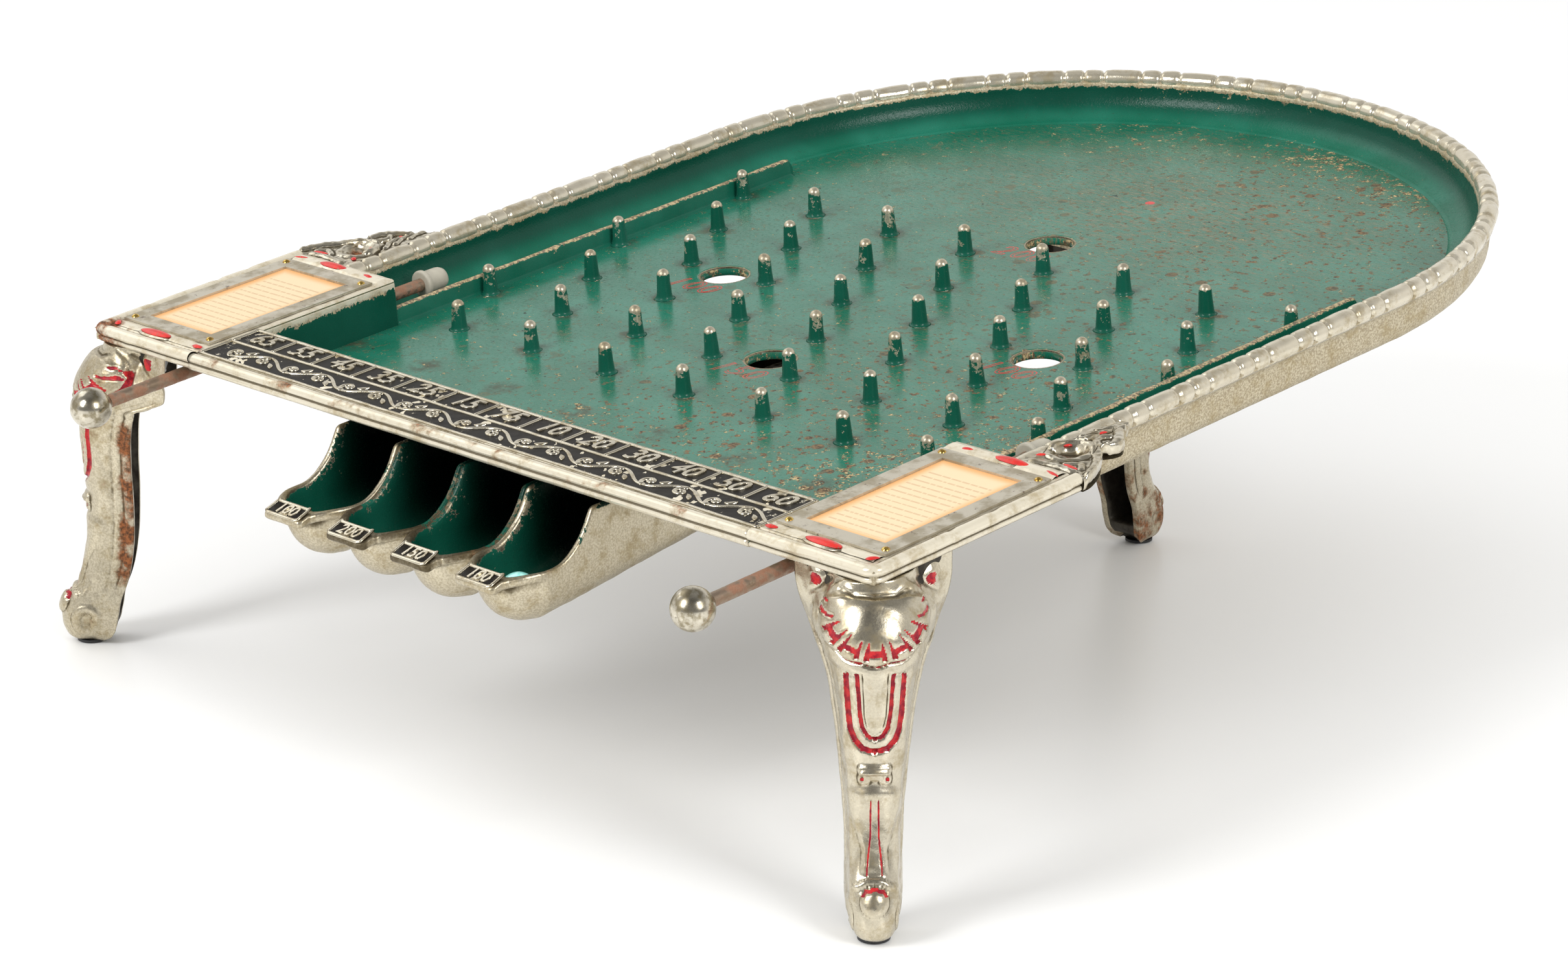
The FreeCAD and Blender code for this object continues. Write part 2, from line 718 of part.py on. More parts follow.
def lane_outline(index):
    """Corners of one return lane's plan, from the rear of its cup to either side of its hole."""
    x, y = holes[index]
    reach = channel_half_width
    edge = (cup_pitch - cup_wall) / 2
    outline = [(cup_x[index] - edge, cup_rear_y), (cup_x[index] + edge, cup_rear_y)]
    if index != far_lane:
        return outline + [(x + reach, y), (x - reach, y)]
    beside = x - 2 * reach + near_pass
    passing = x - reach - channel_wall - 1
    start = near_hole_y - reach - channel_wall
    end = near_hole_y + reach + channel_wall
    return outline + [(passing, start), (passing, end), (x + reach, y), (x - reach, y), (beside - reach, end)]


def lane(index, growth, low, high):
    """One lane's plan, grown all round and raised from one height to another."""
    x, y = holes[index]
    outline = lane_outline(index)
    pieces = [prism(outline, low, high), upright(channel_half_width + growth, low, high, x, y)]
    if growth:
        for (ax, ay), (bx, by) in zip(outline, outline[1:] + outline[:1]):
            length = math.hypot(bx - ax, by - ay)
            sx, sy = (ay - by) / length * growth, (bx - ax) / length * growth
            strip = [(ax + sx, ay + sy), (ax - sx, ay - sy), (bx - sx, by - sy), (bx + sx, by + sy)]
            pieces += [prism(strip, low, high), upright(growth, low, high, ax, ay)]
    return joined(pieces)


def make_channel():
    """Four lanes under the board that bring a fallen marble to its cup, between low walls."""
    floor_top = channel_bottom + cup_skin
    top = floor_top + channel_rail
    body = joined([lane(index, channel_wall, channel_bottom, top) for index in range(4)])
    post_top = underside - under_gap
    posts = [upright(ear_radius, channel_bottom, post_top, x, y) for x, y in channel_screw_places]
    body = joined([body] + posts)
    body = body.cut(box(-3 * cup_pitch, 3 * cup_pitch, cup_rear_y - 2 * cup_pitch, cup_rear_y + seat_gap,
                        channel_bottom - 1, top + 1))
    for index in range(4):
        body = body.cut(lane(index, 0, floor_top, 0))
    for x, y in channel_screw_places:
        body = body.cut(upright(small_screw_radius + screw_bore_gap, channel_bottom - 1, 0, x, y))
        body = body.cut(upright(small_head_radius + head_clear, channel_bottom - 1, channel_seat, x, y))
    return body


def make_small_screws():
    """Round-headed screws up into the playfield: short ones for the cups, long ones for the channel."""
    top = underside + small_screw_depth
    seats = [(x, y, underside - under_gap - ear_thickness) for x, y in cup_screw_places]
    seats += [(x, y, channel_seat) for x, y in channel_screw_places]
    screws = []
    for x, y, seat in seats:
        head = upright(small_head_radius, seat - small_head_height, seat, x, y)
        screws.append(head.fuse(upright(small_screw_radius, seat, top, x, y)).removeSplitter())
    return Part.makeCompound(screws)


def screw_bore_top(seat):
    return seat + leg_screw_depth + leg_screw_clear


def leg_height(zone, value):
    """Foot rows stand above the table, knee rows hang below the board, and shank rows are shares between."""
    knee_low = board_height - leg_knee_depth
    heights = {"foot": value, "shank": leg_foot_height + value * (knee_low - leg_foot_height),
               "knee": board_height - value}
    return heights[zone]


# The leg in its own place: u outwards from the corner it stands under, v across it, w up from the table.
# Each row: zone and height, half width of the open back, where the back is, half width and place of the
# shoulder, and how far the front stands out.
leg_profile = [
    ("foot", 1.2, 6.5, 2.5, 5.0, 11.0, 15.5),
    ("foot", 5.0, 9.8, -2.5, 8.0, 13.0, 19.8),
    ("foot", 12.0, 11.2, -4.7, 9.0, 14.0, 21.4),
    ("foot", 21.0, 11.4, -6.5, 9.5, 12.0, 18.1),
    ("foot", 30.0, 11.3, -10.0, 9.5, 6.0, 12.2),
    ("shank", 0.21, 11.7, -13.1, 9.6, 2.5, 8.2),
    ("shank", 0.49, 13.6, -14.3, 10.6, 1.5, 7.3),
    ("shank", 0.78, 16.0, -14.2, 12.0, 1.5, 8.6),
    ("knee", 35.3, 18.8, -15.5, 14.0, 1.0, 9.6),
    ("knee", 24.3, 22.5, -26.0, 16.5, -3.0, 9.4),
    ("knee", 13.3, 28.0, -31.0, 19.0, -10.0, 5.6),
    ("knee", 3.3, 30.3, -32.5, 18.0, -17.0, -1.0),
    ("knee", -14.7, 30.5, -33.0, 17.0, -20.0, -4.5),
]
leg_sections = [(leg_height(zone, value), *widths) for zone, value, *widths in leg_profile]


def leg_wire(height, back_half, back, shoulder_half, shoulder, front):
    points = [Vector(back, -back_half, height), Vector(back, back_half, height)]
    right = Vector(shoulder, shoulder_half, height)
    left = Vector(shoulder, -shoulder_half, height)
    edges = [line(points[0], points[1]), line(points[1], right)]
    edges += [arc(right, Vector(front, 0, height), left), line(left, points[0])]
    return Part.Wire(edges)


def leg_loft(inset, low, extra_top):
    """The leg's skin as a loft, or the space inside it when an inset is given."""
    rows = [row for row in leg_sections if row[0] >= low]
    if extra_top:
        rows.append((rows[-1][0] + extra_top, *rows[-1][1:]))
    wires = []
    for height, back_half, back, shoulder_half, shoulder, front in rows:
        back_place = back - (leg_open_back if inset else 0)
        wires.append(leg_wire(height, back_half - inset, back_place,
                              shoulder_half - inset * 0.8, shoulder - inset * 0.5, front - inset))
    return Part.makeLoft(wires, True, False)


def place_leg(shape, heading, x, y):
    """Set a shape drawn in the leg's own place on the board's world, facing along the heading."""
    shape.rotate(Vector(0, 0, 0), up, heading)
    shape.translate(Vector(x, y, 0))
    return shape


def leg_shape(heading, x, y, seat, screws):
    """One leg, hollow behind, with its top cut to the board's slope at the seat height."""
    extra = rear_leg_overlap if seat < 0 else 0
    span = 2 * (block_half + bend_centre_y)
    skin = place_leg(leg_loft(0, 0, extra), heading, x, y)
    above = tipped(box(-span, span, -span, span, seat, seat + board_height))
    inside = place_leg(leg_loft(leg_wall, leg_solid_foot, extra), heading, x, y)
    flange = tipped(box(-span, span, -span, span, seat - leg_flange, seat + board_height))
    leg = skin.cut(above).cut(inside.cut(flange))
    for sx, sy in screws:
        bore = upright(screw_radius + screw_bore_gap, seat - leg_flange - 1, seat + 1, sx, sy)
        leg = leg.cut(tipped(bore))
    return leg


def leg_screw(x, y, seat):
    head_top = seat - leg_flange
    head = upright(screw_head_radius, head_top - screw_head_height, head_top, x, y)
    shank = upright(screw_radius, head_top, seat + leg_screw_depth, x, y)
    return tipped(head.fuse(shank).removeSplitter())


def foot_pad(heading, x, y):
    pad = Part.makeCylinder(pad_radius, pad_thickness, Vector(foot_centre_out, 0, 0))
    return place_leg(pad, heading, x, y)


def tipped(shape):
    """Lift a shape from the flat board to the board's slope and height above the table."""
    copy = shape.copy()
    copy.rotate(Vector(0, 0, 0), across, board_slope)
    copy.translate(Vector(0, 0, board_height))
    return copy


def world_place(x, y, z):
    """Where a point of the board lies above the table."""
    return Vector(x, y * math.cos(slope) - z * math.sin(slope),
                  y * math.sin(slope) + z * math.cos(slope) + board_height)


# Screw and pin places, shared by the pieces that they go through
diagonal = math.sqrt(0.5)
rear_seat = underside - rear_boss_height
channel_seat = channel_bottom + channel_screw_recess
leg_corner_x = block_half - leg_corner_setback * diagonal
leg_corner_y = front_y + leg_corner_setback * diagonal
front_leg_screws = [(leg_corner_x + (side - leg_screw_back) * diagonal,
                     leg_corner_y + (side + leg_screw_back) * diagonal)
                    for side in (-leg_screw_spread, leg_screw_spread)]
rear_leg_screws = [(side, rear_leg_y - leg_screw_back) for side in (-leg_screw_spread, leg_screw_spread)]
frame_pin_places = [(card_frame_inner_x + across_in, card_frame_rear_y - back_in)
                    for across_in in (pin_inset, card_frame_width - pin_inset)
                    for back_in in (pin_inset, card_frame_length - pin_inset)]
ear_out = 2 * cup_pitch + ear_radius - ear_overlap
ear_places = (ear_radius + 2, 4 * ear_radius)
cup_screw_places = [(side * ear_out, cup_rear_y - back) for side in (-1, 1) for back in ear_places]
post_out = channel_half_width + channel_wall + ear_radius - post_overlap
post_x = outer_hole_x + post_out - post_inset
channel_screw_places = [(side * post_x, outer_hole_y - post_step) for side in (-1, 1)]
channel_screw_places += [(side * post_out, far_hole_y - far_post_step) for side in (-1, 1)]
small_screw_places = cup_screw_places + channel_screw_places
strip_names = ["playfield_front", "playfield_near", "playfield_middle", "playfield_far"]


def both_sides(name, shape):
    return {name + "_right": shape, name + "_left": mirrored(shape)}


def board_nodes():
    """Every piece that is drawn on the flat board."""
    nodes = {"tray_wall": make_wall(), "rim_beads": make_beads(), "pegs": make_pegs(),
             "score_panel": make_score_panel(), "return_channel": make_channel(),
             "tray_screws": make_small_screws()}
    nodes.update(floor_strips())
    nodes.update(make_cups())
    nodes.update(both_sides("lane_fence", make_fence()))
    nodes.update(both_sides("corner_block", make_corner_block()))
    nodes.update(both_sides("scroll_bracket", make_bracket()))
    nodes.update(both_sides("instruction_card", make_card()))
    nodes.update(both_sides("card_frame", make_card_frame()))
    pins = [make_frame_pin(x, y) for x, y in frame_pin_places]
    nodes["frame_pins"] = Part.makeCompound(pins + [mirrored(pin) for pin in pins])
    nodes.update(both_sides("plunger_rod", make_rod()))
    nodes.update(both_sides("plunger_knob", make_knob()))
    nodes.update(both_sides("rubber_tip", make_tip()))
    nodes.update(both_sides("spring_collar", make_collar()))
    nodes.update(both_sides("collar_pin", cross_pin_at(0)))
    nodes.update(both_sides("buffer_washer", make_buffer()))
    nodes.update(both_sides("plunger_spring", make_spring()))
    low_y = cup_centre_y - inner_front_radius + inner_front_radius * trough_nose
    nodes["marble"] = Part.makeSphere(marble_radius, Vector(cup_x[-1], low_y, cup_bottom + cup_skin
                                                            + marble_radius + marble_gap))
    return nodes


def leg_nodes():
    """The three legs, their screws and the pads under their feet."""
    front = world_place(leg_corner_x, leg_corner_y, rail_bottom)
    rear = world_place(0, rear_leg_y, rear_seat)
    left_screws = [(-x, y) for x, y in front_leg_screws]
    places = {"front_leg_right": (-45, front.x, front.y, rail_bottom, front_leg_screws),
              "front_leg_left": (-135, -front.x, front.y, rail_bottom, left_screws),
              "rear_leg": (90, 0, rear.y, rear_seat, rear_leg_screws)}
    nodes = {}
    screws = []
    pads = []
    for name, (heading, x, y, seat, screw_places) in places.items():
        nodes[name] = leg_shape(heading, x, y, seat, screw_places)
        screws += [leg_screw(sx, sy, seat) for sx, sy in screw_places]
        pads.append(foot_pad(heading, x, y))
    nodes["leg_screws"] = Part.makeCompound(screws)
    nodes["foot_pads"] = Part.makeCompound(pads)
    return nodes


def middle_y():
    """The middle of the game from the knobs to the far end of the rim, once the board is tipped."""
    knob = world_place(0, knob_y, plunger_z).y - knob_radius
    rim = world_place(0, bend_centre_y + bead_centre, rim_height - bead_radius).y + bead_radius
    return (knob + rim) / 2


nodes = {name: tipped(shape) for name, shape in board_nodes().items()}
nodes.update(leg_nodes())
offset = middle_y()
for name, shape in sorted(nodes.items()):
    shape.translate(Vector(0, -offset, 0))
    shape.exportStep("parts/" + name + ".step")
    print(name, len(shape.Solids), "solids, volume", round(shape.Volume), "valid", shape.isValid())
print("nodes", len(nodes), "y offset", round(offset, 3))
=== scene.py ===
# A cast-iron bagatelle game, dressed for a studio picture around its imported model.
# Lengths below are millimetres. Pieces of the board are drawn flat, with x across, y towards the rear
# and z up from the playfield, and are then set on the board's slope by one matrix.
import math
import bmesh
import bpy
import numpy as np
from mathutils import Matrix, Vector, geometry


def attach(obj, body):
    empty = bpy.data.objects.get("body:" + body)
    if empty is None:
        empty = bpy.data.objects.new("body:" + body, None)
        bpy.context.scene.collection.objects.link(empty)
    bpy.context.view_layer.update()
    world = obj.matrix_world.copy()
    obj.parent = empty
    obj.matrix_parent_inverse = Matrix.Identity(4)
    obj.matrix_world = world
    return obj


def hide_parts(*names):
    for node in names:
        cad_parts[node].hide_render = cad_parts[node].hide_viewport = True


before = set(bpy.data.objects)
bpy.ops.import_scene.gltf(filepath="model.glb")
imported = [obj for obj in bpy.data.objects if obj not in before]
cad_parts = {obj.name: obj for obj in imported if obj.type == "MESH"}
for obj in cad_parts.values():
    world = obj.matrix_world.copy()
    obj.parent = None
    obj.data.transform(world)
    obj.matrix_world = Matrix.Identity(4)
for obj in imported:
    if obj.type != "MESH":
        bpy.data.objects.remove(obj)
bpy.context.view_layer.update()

MM = 0.001
board_slope = 5.24
board_height = 137.3
board_shift = 124.524
BOARD = Matrix.Translation((0, -board_shift * MM, board_height * MM)) @ Matrix.Rotation(
    math.radians(board_slope), 4, "X")
WORLD = Matrix.Identity(4)

# The tray
coat = 0.15
floor_half = 186.0
wall_inner = 200.0
wall_fillet = 14.0
bend_centre_y = 228.0
block_rear_y = -12.5
play_half = 171.6
strip_rear_y = -91.2
front_y = -132.0
block_half = 240.0
block_top = 22.0
rail_edge = 15.4
holes = [(-96.0, 120.0), (0.0, 236.0), (0.0, 53.0), (96.0, 120.0)]
hole_names = ["100", "200", "150", "100"]
hole_radius = 11.3
peg_pitch = 48.0
row_pitch = 40.9
pegs_in_row = [7, 8, 7, 8, 7, 8]
bead_centre = 204.6
bead_radius = 4.6
bead_height = 17.4
long_bead = 19.0
short_bead = 9.8
card_box = (178.75, 227.75, -112.6, -28.0)
plunger_x = 185.3
plunger_z = 8.64
knob_radius = 9.0
knob_centre_y = -175.7
rod_radius = 2.93
score_numbers = ["65", "55", "45", "35", "25", "15", "75", "10", "20", "30", "40", "50", "60"]
cup_numbers = ["100", "200", "150", "100"]
cup_pitch = 39.6
cup_centre_y = -152.0
cup_rear_y = -60.0
cup_outer = 19.8
cup_inner = 16.8
cup_lip = -9.6
ear_x = 83.7
pad_rise = 0.9
pad_fall = 1.3
pad_run = 7.1
foot_reach = 255.8
up = np.array([0.0, 0.0, 1.0])


# Colours, written as a picture shows them
def tint(red, green, blue):
    """A colour given from 0 to 255, in the linear values that shaders take."""
    def linear(value):
        share = value / 255
        return share / 12.92 if share <= 0.04045 else ((share + 0.055) / 1.055) ** 2.4
    return (linear(red), linear(green), linear(blue), 1.0)


# Shader graphs
def add_node(tree, kind, inputs=(), **settings):
    """Add a node; each of its inputs is a plain value or another node's socket."""
    made = tree.nodes.new(kind)
    for key, value in settings.items():
        setattr(made, key, value)
    for key, value in dict(inputs).items():
        if isinstance(value, bpy.types.NodeSocket):
            tree.links.new(value, made.inputs[key])
        else:
            made.inputs[key].default_value = value
    return made


class Graph:
    """A small helper that writes a material's nodes as expressions."""

    def __init__(self, name):
        self.material = bpy.data.materials.new(name)
        self.material.use_nodes = True
        self.tree = self.material.node_tree
        self.tree.nodes.clear()
        self.place = self.node("ShaderNodeTexCoord").outputs["Object"]

    def node(self, kind, inputs=(), **settings):
        """A node of this material."""
        return add_node(self.tree, kind, inputs, **settings)

    def maths(self, operation, a, b=0.0):
        """One step of arithmetic."""
        return self.node("ShaderNodeMath", {0: a, 1: b}, operation=operation).outputs[0]

    def times(self, a, b):
        return self.maths("MULTIPLY", a, b)

    def plus(self, a, b):
        return self.maths("ADD", a, b)

    def minus(self, a, b):
        return self.maths("SUBTRACT", a, b)

    def most(self, a, b):
        return self.maths("MAXIMUM", a, b)

    def mix(self, share, a, b):
        """Two colours mixed by a share."""
        return self.node("ShaderNodeMix", {0: share, 6: a, 7: b}, data_type="RGBA").outputs[2]

    def blend(self, share, a, b):
        """Two values blended by a share."""
        return self.node("ShaderNodeMix", {0: share, 2: a, 3: b}, data_type="FLOAT").outputs[0]

    def step(self, value, low, high):
        """A smooth step from 0 at low to 1 at high."""
        inputs = {0: value, 1: low, 2: high}
        return self.node("ShaderNodeMapRange", inputs, interpolation_type="SMOOTHSTEP").outputs[0]

    def noise(self, size, detail=3.0, rough=0.55, place=None, twist=0.0):
        """Noise whose features are about so many millimetres across."""
        inputs = {"Vector": place or self.place, "Scale": 1 / (size * MM), "Detail": detail,
                  "Roughness": rough, "Distortion": twist}
        return self.node("ShaderNodeTexNoise", inputs).outputs[0]

    def cells(self, size):
        """Distance from the nearest of many scattered points, in shares of the size."""
        inputs = {"Vector": self.place, "Scale": 1 / (size * MM)}
        return self.node("ShaderNodeTexVoronoi", inputs).outputs["Distance"]

    def stretched(self, angle, along, across):
        """The place turned about the vertical and squeezed, so that noise on it makes streaks."""
        scale = (1 / (along * MM), 1 / (across * MM), 1 / (along * MM))
        inputs = {"Vector": self.place, "Rotation": (0, 0, angle), "Scale": scale}
        return self.node("ShaderNodeMapping", inputs).outputs[0]

    def mask(self, name):
        """A mask that the piece's own points carry."""
        return self.node("ShaderNodeAttribute", attribute_name=name).outputs["Fac"]

    def bump(self, height, distance, strength=1.0, normal=None):
        """Relief so many millimetres deep, on top of an earlier one where given."""
        inputs = {"Height": height, "Distance": distance * MM, "Strength": strength}
        if normal is not None:
            inputs["Normal"] = normal
        return self.node("ShaderNodeBump", inputs).outputs[0]

    def finish(self, inputs):
        """The material with its shader's inputs joined."""
        shader = self.node("ShaderNodeBsdfPrincipled", inputs)
        output = self.node("ShaderNodeOutputMaterial")
        self.tree.links.new(shader.outputs[0], output.inputs[0])
        return self.material


def peg_halo(graph):
    """How near a point of the floor is to a peg, from the two lattices of the staggered rows."""
    split = graph.node("ShaderNodeSeparateXYZ", {0: graph.place})
    near = None
    for shift_x, shift_y in ((0.0, 0.0), (peg_pitch / 2, row_pitch)):
        parts = []
        for axis, shift, period in ((0, shift_x, peg_pitch), (1, shift_y, 2 * row_pitch)):
            moved = graph.plus(split.outputs[axis], (period / 2 - shift) * MM)
            folded = graph.maths("PINGPONG", graph.minus(moved, period / 2 * MM), period / 2 * MM)
            parts.append(graph.maths("POWER", folded, 2.0))
        distance = graph.maths("SQRT", graph.plus(parts[0], parts[1]))
        near = distance if near is None else graph.maths("MINIMUM", near, distance)
    rows = graph.step(split.outputs[1], 0.235, 0.225)
    return graph.times(graph.step(near, 0.011, 0.0035), rows)


def casting(name, grain=0.35, floor=False, sandy=0.0):
    """Nickelled cast iron, with green, red and black paint where the masks say, worn at its edges; its green
    is darkened by painted shade where the shade masks say.
    """
    g = Graph(name)
    cavity = g.mask("cavity")
    dirt = g.most(cavity, 0.0)
    edge = g.most(g.times(cavity, -1.0), 0.0)
    broad = g.noise(38.0, 3.0)
    blotch = g.noise(9.0, 5.0, 0.6)
    fine = g.noise(1.6, 4.0, 0.65)
    sand = g.noise(0.9, 2.0, 0.6)

    # Bare nickel: tarnished in clouds, brown in its hollows and rusty where the mask says
    tarnish = g.step(g.plus(g.times(blotch, 0.7), g.times(fine, 0.3)), 0.46, 0.66)
    nickel = g.mix(broad, tint(200, 191, 168), tint(220, 213, 196))
    sanded = g.mix(g.step(sand, 0.34, 0.66), tint(136, 120, 90), tint(196, 185, 157))
    nickel = g.mix(sandy, nickel, sanded)
    metal = g.mix(g.times(tarnish, 0.6), nickel, tint(156, 138, 98))
    crevice = g.step(g.plus(dirt, g.times(g.minus(fine, 0.5), 0.25)), 0.05, 0.34)
    metal = g.mix(g.times(crevice, 0.85), metal, tint(74, 62, 38))
    rust_mask = g.step(g.plus(g.mask("rust"), g.times(g.minus(blotch, 0.5), 1.3)), 0.45, 0.72)
    rust = g.mix(g.step(fine, 0.35, 0.65), tint(150, 94, 58), tint(80, 56, 40))
    metal = g.mix(rust_mask, metal, rust)
    metal_rough = g.blend(tarnish, 0.20 + 0.28 * sandy, 0.36 + 0.22 * sandy)
    metal_rough = g.blend(crevice, metal_rough, 0.6)
    metal_rough = g.blend(rust_mask, metal_rough, 0.75)
    metallic = g.minus(1.0, g.times(rust_mask, 0.75))

    # Paint stays where its mask is high and chips at edges, at specks and where the wear mask says
    chips = g.times(g.minus(g.noise(5.5, 6.0, 0.68), 0.5), 1.9)
    specks = g.times(g.minus(g.noise(1.1, 3.0, 0.6), 0.5), 0.9)
    wear = g.plus(g.mask("wear"), g.times(edge, 0.9))
    ragged = g.plus(chips, specks)
    loss = g.plus(wear, g.times(ragged, 1.5 if floor else 0.85))

    def cover(mask_name, bias):
        """Where one paint still holds."""
        held = g.minus(g.plus(g.mask(mask_name), bias), loss)
        return g.step(held, 0.44, 0.5)

    green = cover("paint", 0.0)
    red = cover("red", -0.05)
    black = cover("black", 0.0)
    under = g.mix(g.step(fine, 0.42, 0.58), tint(182, 160, 116), tint(74, 56, 36))
    bare_tan = g.step(g.plus(g.mask("paint"), g.times(ragged, 0.3)), 0.55, 0.8)
    bare = g.mix(g.times(bare_tan, g.mask("tan")), metal, under)
    bare_metallic = g.times(metallic, g.minus(1.0, g.times(g.mask("tan"), 0.95)))

    # The green: painted shade darkens it where the shade mask says and makes it almost black deep in the
    # cups; it is stained and scratched on the playfield
    deep = g.mix(g.step(broad, 0.35, 0.7), tint(18, 92, 71), tint(32, 106, 86))
    deep = g.mix(g.times(g.step(fine, 0.56, 0.72), 0.35), deep, tint(34, 70, 54))
    deep = g.mix(g.mask("shade"), deep, g.mix(broad, tint(2, 50, 38), tint(8, 66, 52)))
    # Painted shade: the paint turns almost black deep inside the cups
    deep = g.mix(g.mask("painted_cup_shade"), deep, tint(2, 9, 7))
    if floor:
        halo = g.times(peg_halo(g), g.step(blotch, 0.36, 0.62))
        deep = g.mix(g.times(halo, 0.75), deep, tint(62, 56, 40))
        dots = g.most(g.step(g.cells(14.0), 0.24, 0.18), g.step(g.cells(8.0), 0.22, 0.16))
        chosen = g.step(g.noise(22.0, 2.0, 0.5), 0.50, 0.54)
        stains = g.most(g.step(g.noise(4.0, 4.0, 0.6), 0.585, 0.615), g.times(dots, chosen))
        stains = g.times(stains, g.mask("stain"))
        deep = g.mix(stains, deep, g.mix(g.step(fine, 0.4, 0.6), tint(58, 44, 28), tint(120, 98, 66)))
        scratches = None
        for turn in range(5):
            streak = g.noise(1000.0, 1.0, 0.5, place=g.stretched(0.7 + turn * 0.63, 9.0, 0.55), twist=0.4)
            line = g.step(streak, 0.615, 0.655)
            scratches = line if scratches is None else g.most(scratches, line)
        scratches = g.times(scratches, g.mask("scratch"))
        deep = g.mix(g.times(scratches, 0.8), deep, g.mix(fine, tint(74, 62, 42), tint(150, 128, 92)))
    colour = g.mix(green, bare, deep)
    enamel = g.mix(g.step(g.noise(3.0, 3.0), 0.38, 0.62), tint(128, 22, 38), tint(178, 42, 44))
    colour = g.mix(red, colour, enamel)
    ink = g.mix(fine, tint(13, 12, 11), tint(42, 38, 33))
    colour = g.mix(black, colour, ink)
    paint = g.most(green, g.most(red, black))
    metallic = g.times(bare_metallic, g.minus(1.0, paint))
    gloss = g.blend(g.step(fine, 0.45, 0.7), 0.2, 0.34)
    if floor:
        gloss = g.plus(gloss, g.times(halo, 0.2))
        gloss = g.plus(gloss, g.times(stains, 0.35))
    gloss = g.blend(black, gloss, 0.5)
    bare_rough = g.blend(g.times(bare_tan, g.mask("tan")), metal_rough, 0.68)
    roughness = g.blend(paint, bare_rough, gloss)

    normal = g.bump(sand, 0.12, grain)
    normal = g.bump(blotch, 0.5, 0.25 * min(1.0, grain * 2.5), normal)
    normal = g.bump(paint, 0.09, 0.7, normal)
    if floor:
        normal = g.bump(scratches, -0.05, 0.6, normal)
    return g.finish({"Base Color": colour, "Metallic": metallic, "Roughness": roughness, "Normal": normal,
                     "Specular IOR Level": 0.5 if floor else 0.2})


def plain_metal(name, light, dark, smooth, rough, patch=6.0, metallic=1.0, grain=0.15):
    """A metal part with a tarnish of its own: two colours, two roughnesses and a fine grain."""
    g = Graph(name)
    share = g.step(g.noise(patch, 5.0, 0.62), 0.42, 0.62)
    fine = g.noise(0.8, 3.0, 0.6)
    colour = g.mix(share, light, dark)
    colour = g.mix(g.times(g.step(fine, 0.55, 0.7), 0.4), colour, dark)
    return g.finish({"Base Color": colour, "Metallic": metallic, "Roughness": g.blend(share, smooth, rough),
                     "Normal": g.bump(fine, 0.08, grain)})


def rusty_rod():
    """Drawn steel rod, brown with old rust in patches."""
    g = Graph("rusty_rod")
    patches = g.step(g.noise(7.0, 5.0, 0.65), 0.40, 0.60)
    fine = g.noise(0.9, 4.0, 0.7)
    rust = g.mix(fine, tint(116, 78, 58), tint(164, 124, 98))
    colour = g.mix(patches, tint(156, 138, 120), rust)
    return g.finish({"Base Color": colour, "Metallic": g.blend(patches, 0.9, 0.25),
                     "Roughness": g.blend(patches, 0.38, 0.7), "Normal": g.bump(fine, 0.25, 0.6)})


def zinc_sheet():
    """Dull zinc sheet, brushed along its length, clouded and spotted."""
    g = Graph("zinc_sheet")
    cloud = g.step(g.noise(11.0, 5.0, 0.6), 0.4, 0.62)
    spots = g.step(g.noise(3.2, 4.0, 0.7), 0.63, 0.68)
    colour = g.mix(cloud, tint(196, 189, 172), tint(164, 154, 132))
    colour = g.mix(g.times(spots, 0.75), colour, tint(92, 74, 66))
    brushed = g.noise(1000.0, 2.0, 0.5, place=g.stretched(0.2, 12.0, 0.35))
    return g.finish({"Base Color": colour, "Metallic": 0.65, "Roughness": g.blend(cloud, 0.36, 0.52),
                     "Normal": g.bump(brushed, 0.05, 0.4)})


def card_paper():
    """Cream card that glows orange towards the frame, with rows of faint ruled marks and no words."""
    g = Graph("card_paper")
    flat = g.mask("edge")
    colour = g.mix(g.step(flat, 0.0, 1.0), tint(214, 194, 158), tint(216, 162, 104))
    fibre = g.noise(0.5, 4.0, 0.7)
    colour = g.mix(g.times(fibre, 0.10), colour, tint(190, 158, 122))
    colour = g.mix(g.mask("rules"), colour, tint(170, 126, 92))
    return g.finish({"Base Color": colour, "Metallic": 0.0, "Roughness": 0.62,
                     "Normal": g.bump(fibre, 0.03, 0.3)})


def red_enamel():
    """Red enamel, worn through in small places."""
    g = Graph("red_enamel")
    worn = g.step(g.noise(1.6, 4.0, 0.65), 0.60, 0.66)
    cloud = g.noise(3.5, 3.0)
    colour = g.mix(cloud, tint(160, 16, 30), tint(214, 50, 32))
    colour = g.mix(worn, colour, tint(150, 134, 108))
    return g.finish({"Base Color": colour, "Metallic": g.times(worn, 0.8), "Roughness": 0.28,
                     "Normal": g.bump(worn, -0.06, 0.7)})


def soft_material(name, light, dark):
    """Rubber or felt: two clouded colours and a fine grain."""
    g = Graph(name)
    cloud = g.noise(4.0, 4.0, 0.6)
    return g.finish({"Base Color": g.mix(cloud, light, dark), "Metallic": 0.0, "Roughness": 0.5,
                     "Normal": g.bump(g.noise(0.7, 3.0), 0.08, 0.35)})


def marble_glass():
    """Pale blue-green glass with a swirl."""
    g = Graph("marble_glass")
    swirl = g.step(g.noise(5.0, 2.0, 0.5, twist=1.5), 0.4, 0.6)
    return g.finish({"Base Color": g.mix(swirl, tint(150, 222, 214), tint(178, 236, 226)), "Metallic": 0.0,
                     "Roughness": 0.12, "Coat Weight": 0.4})


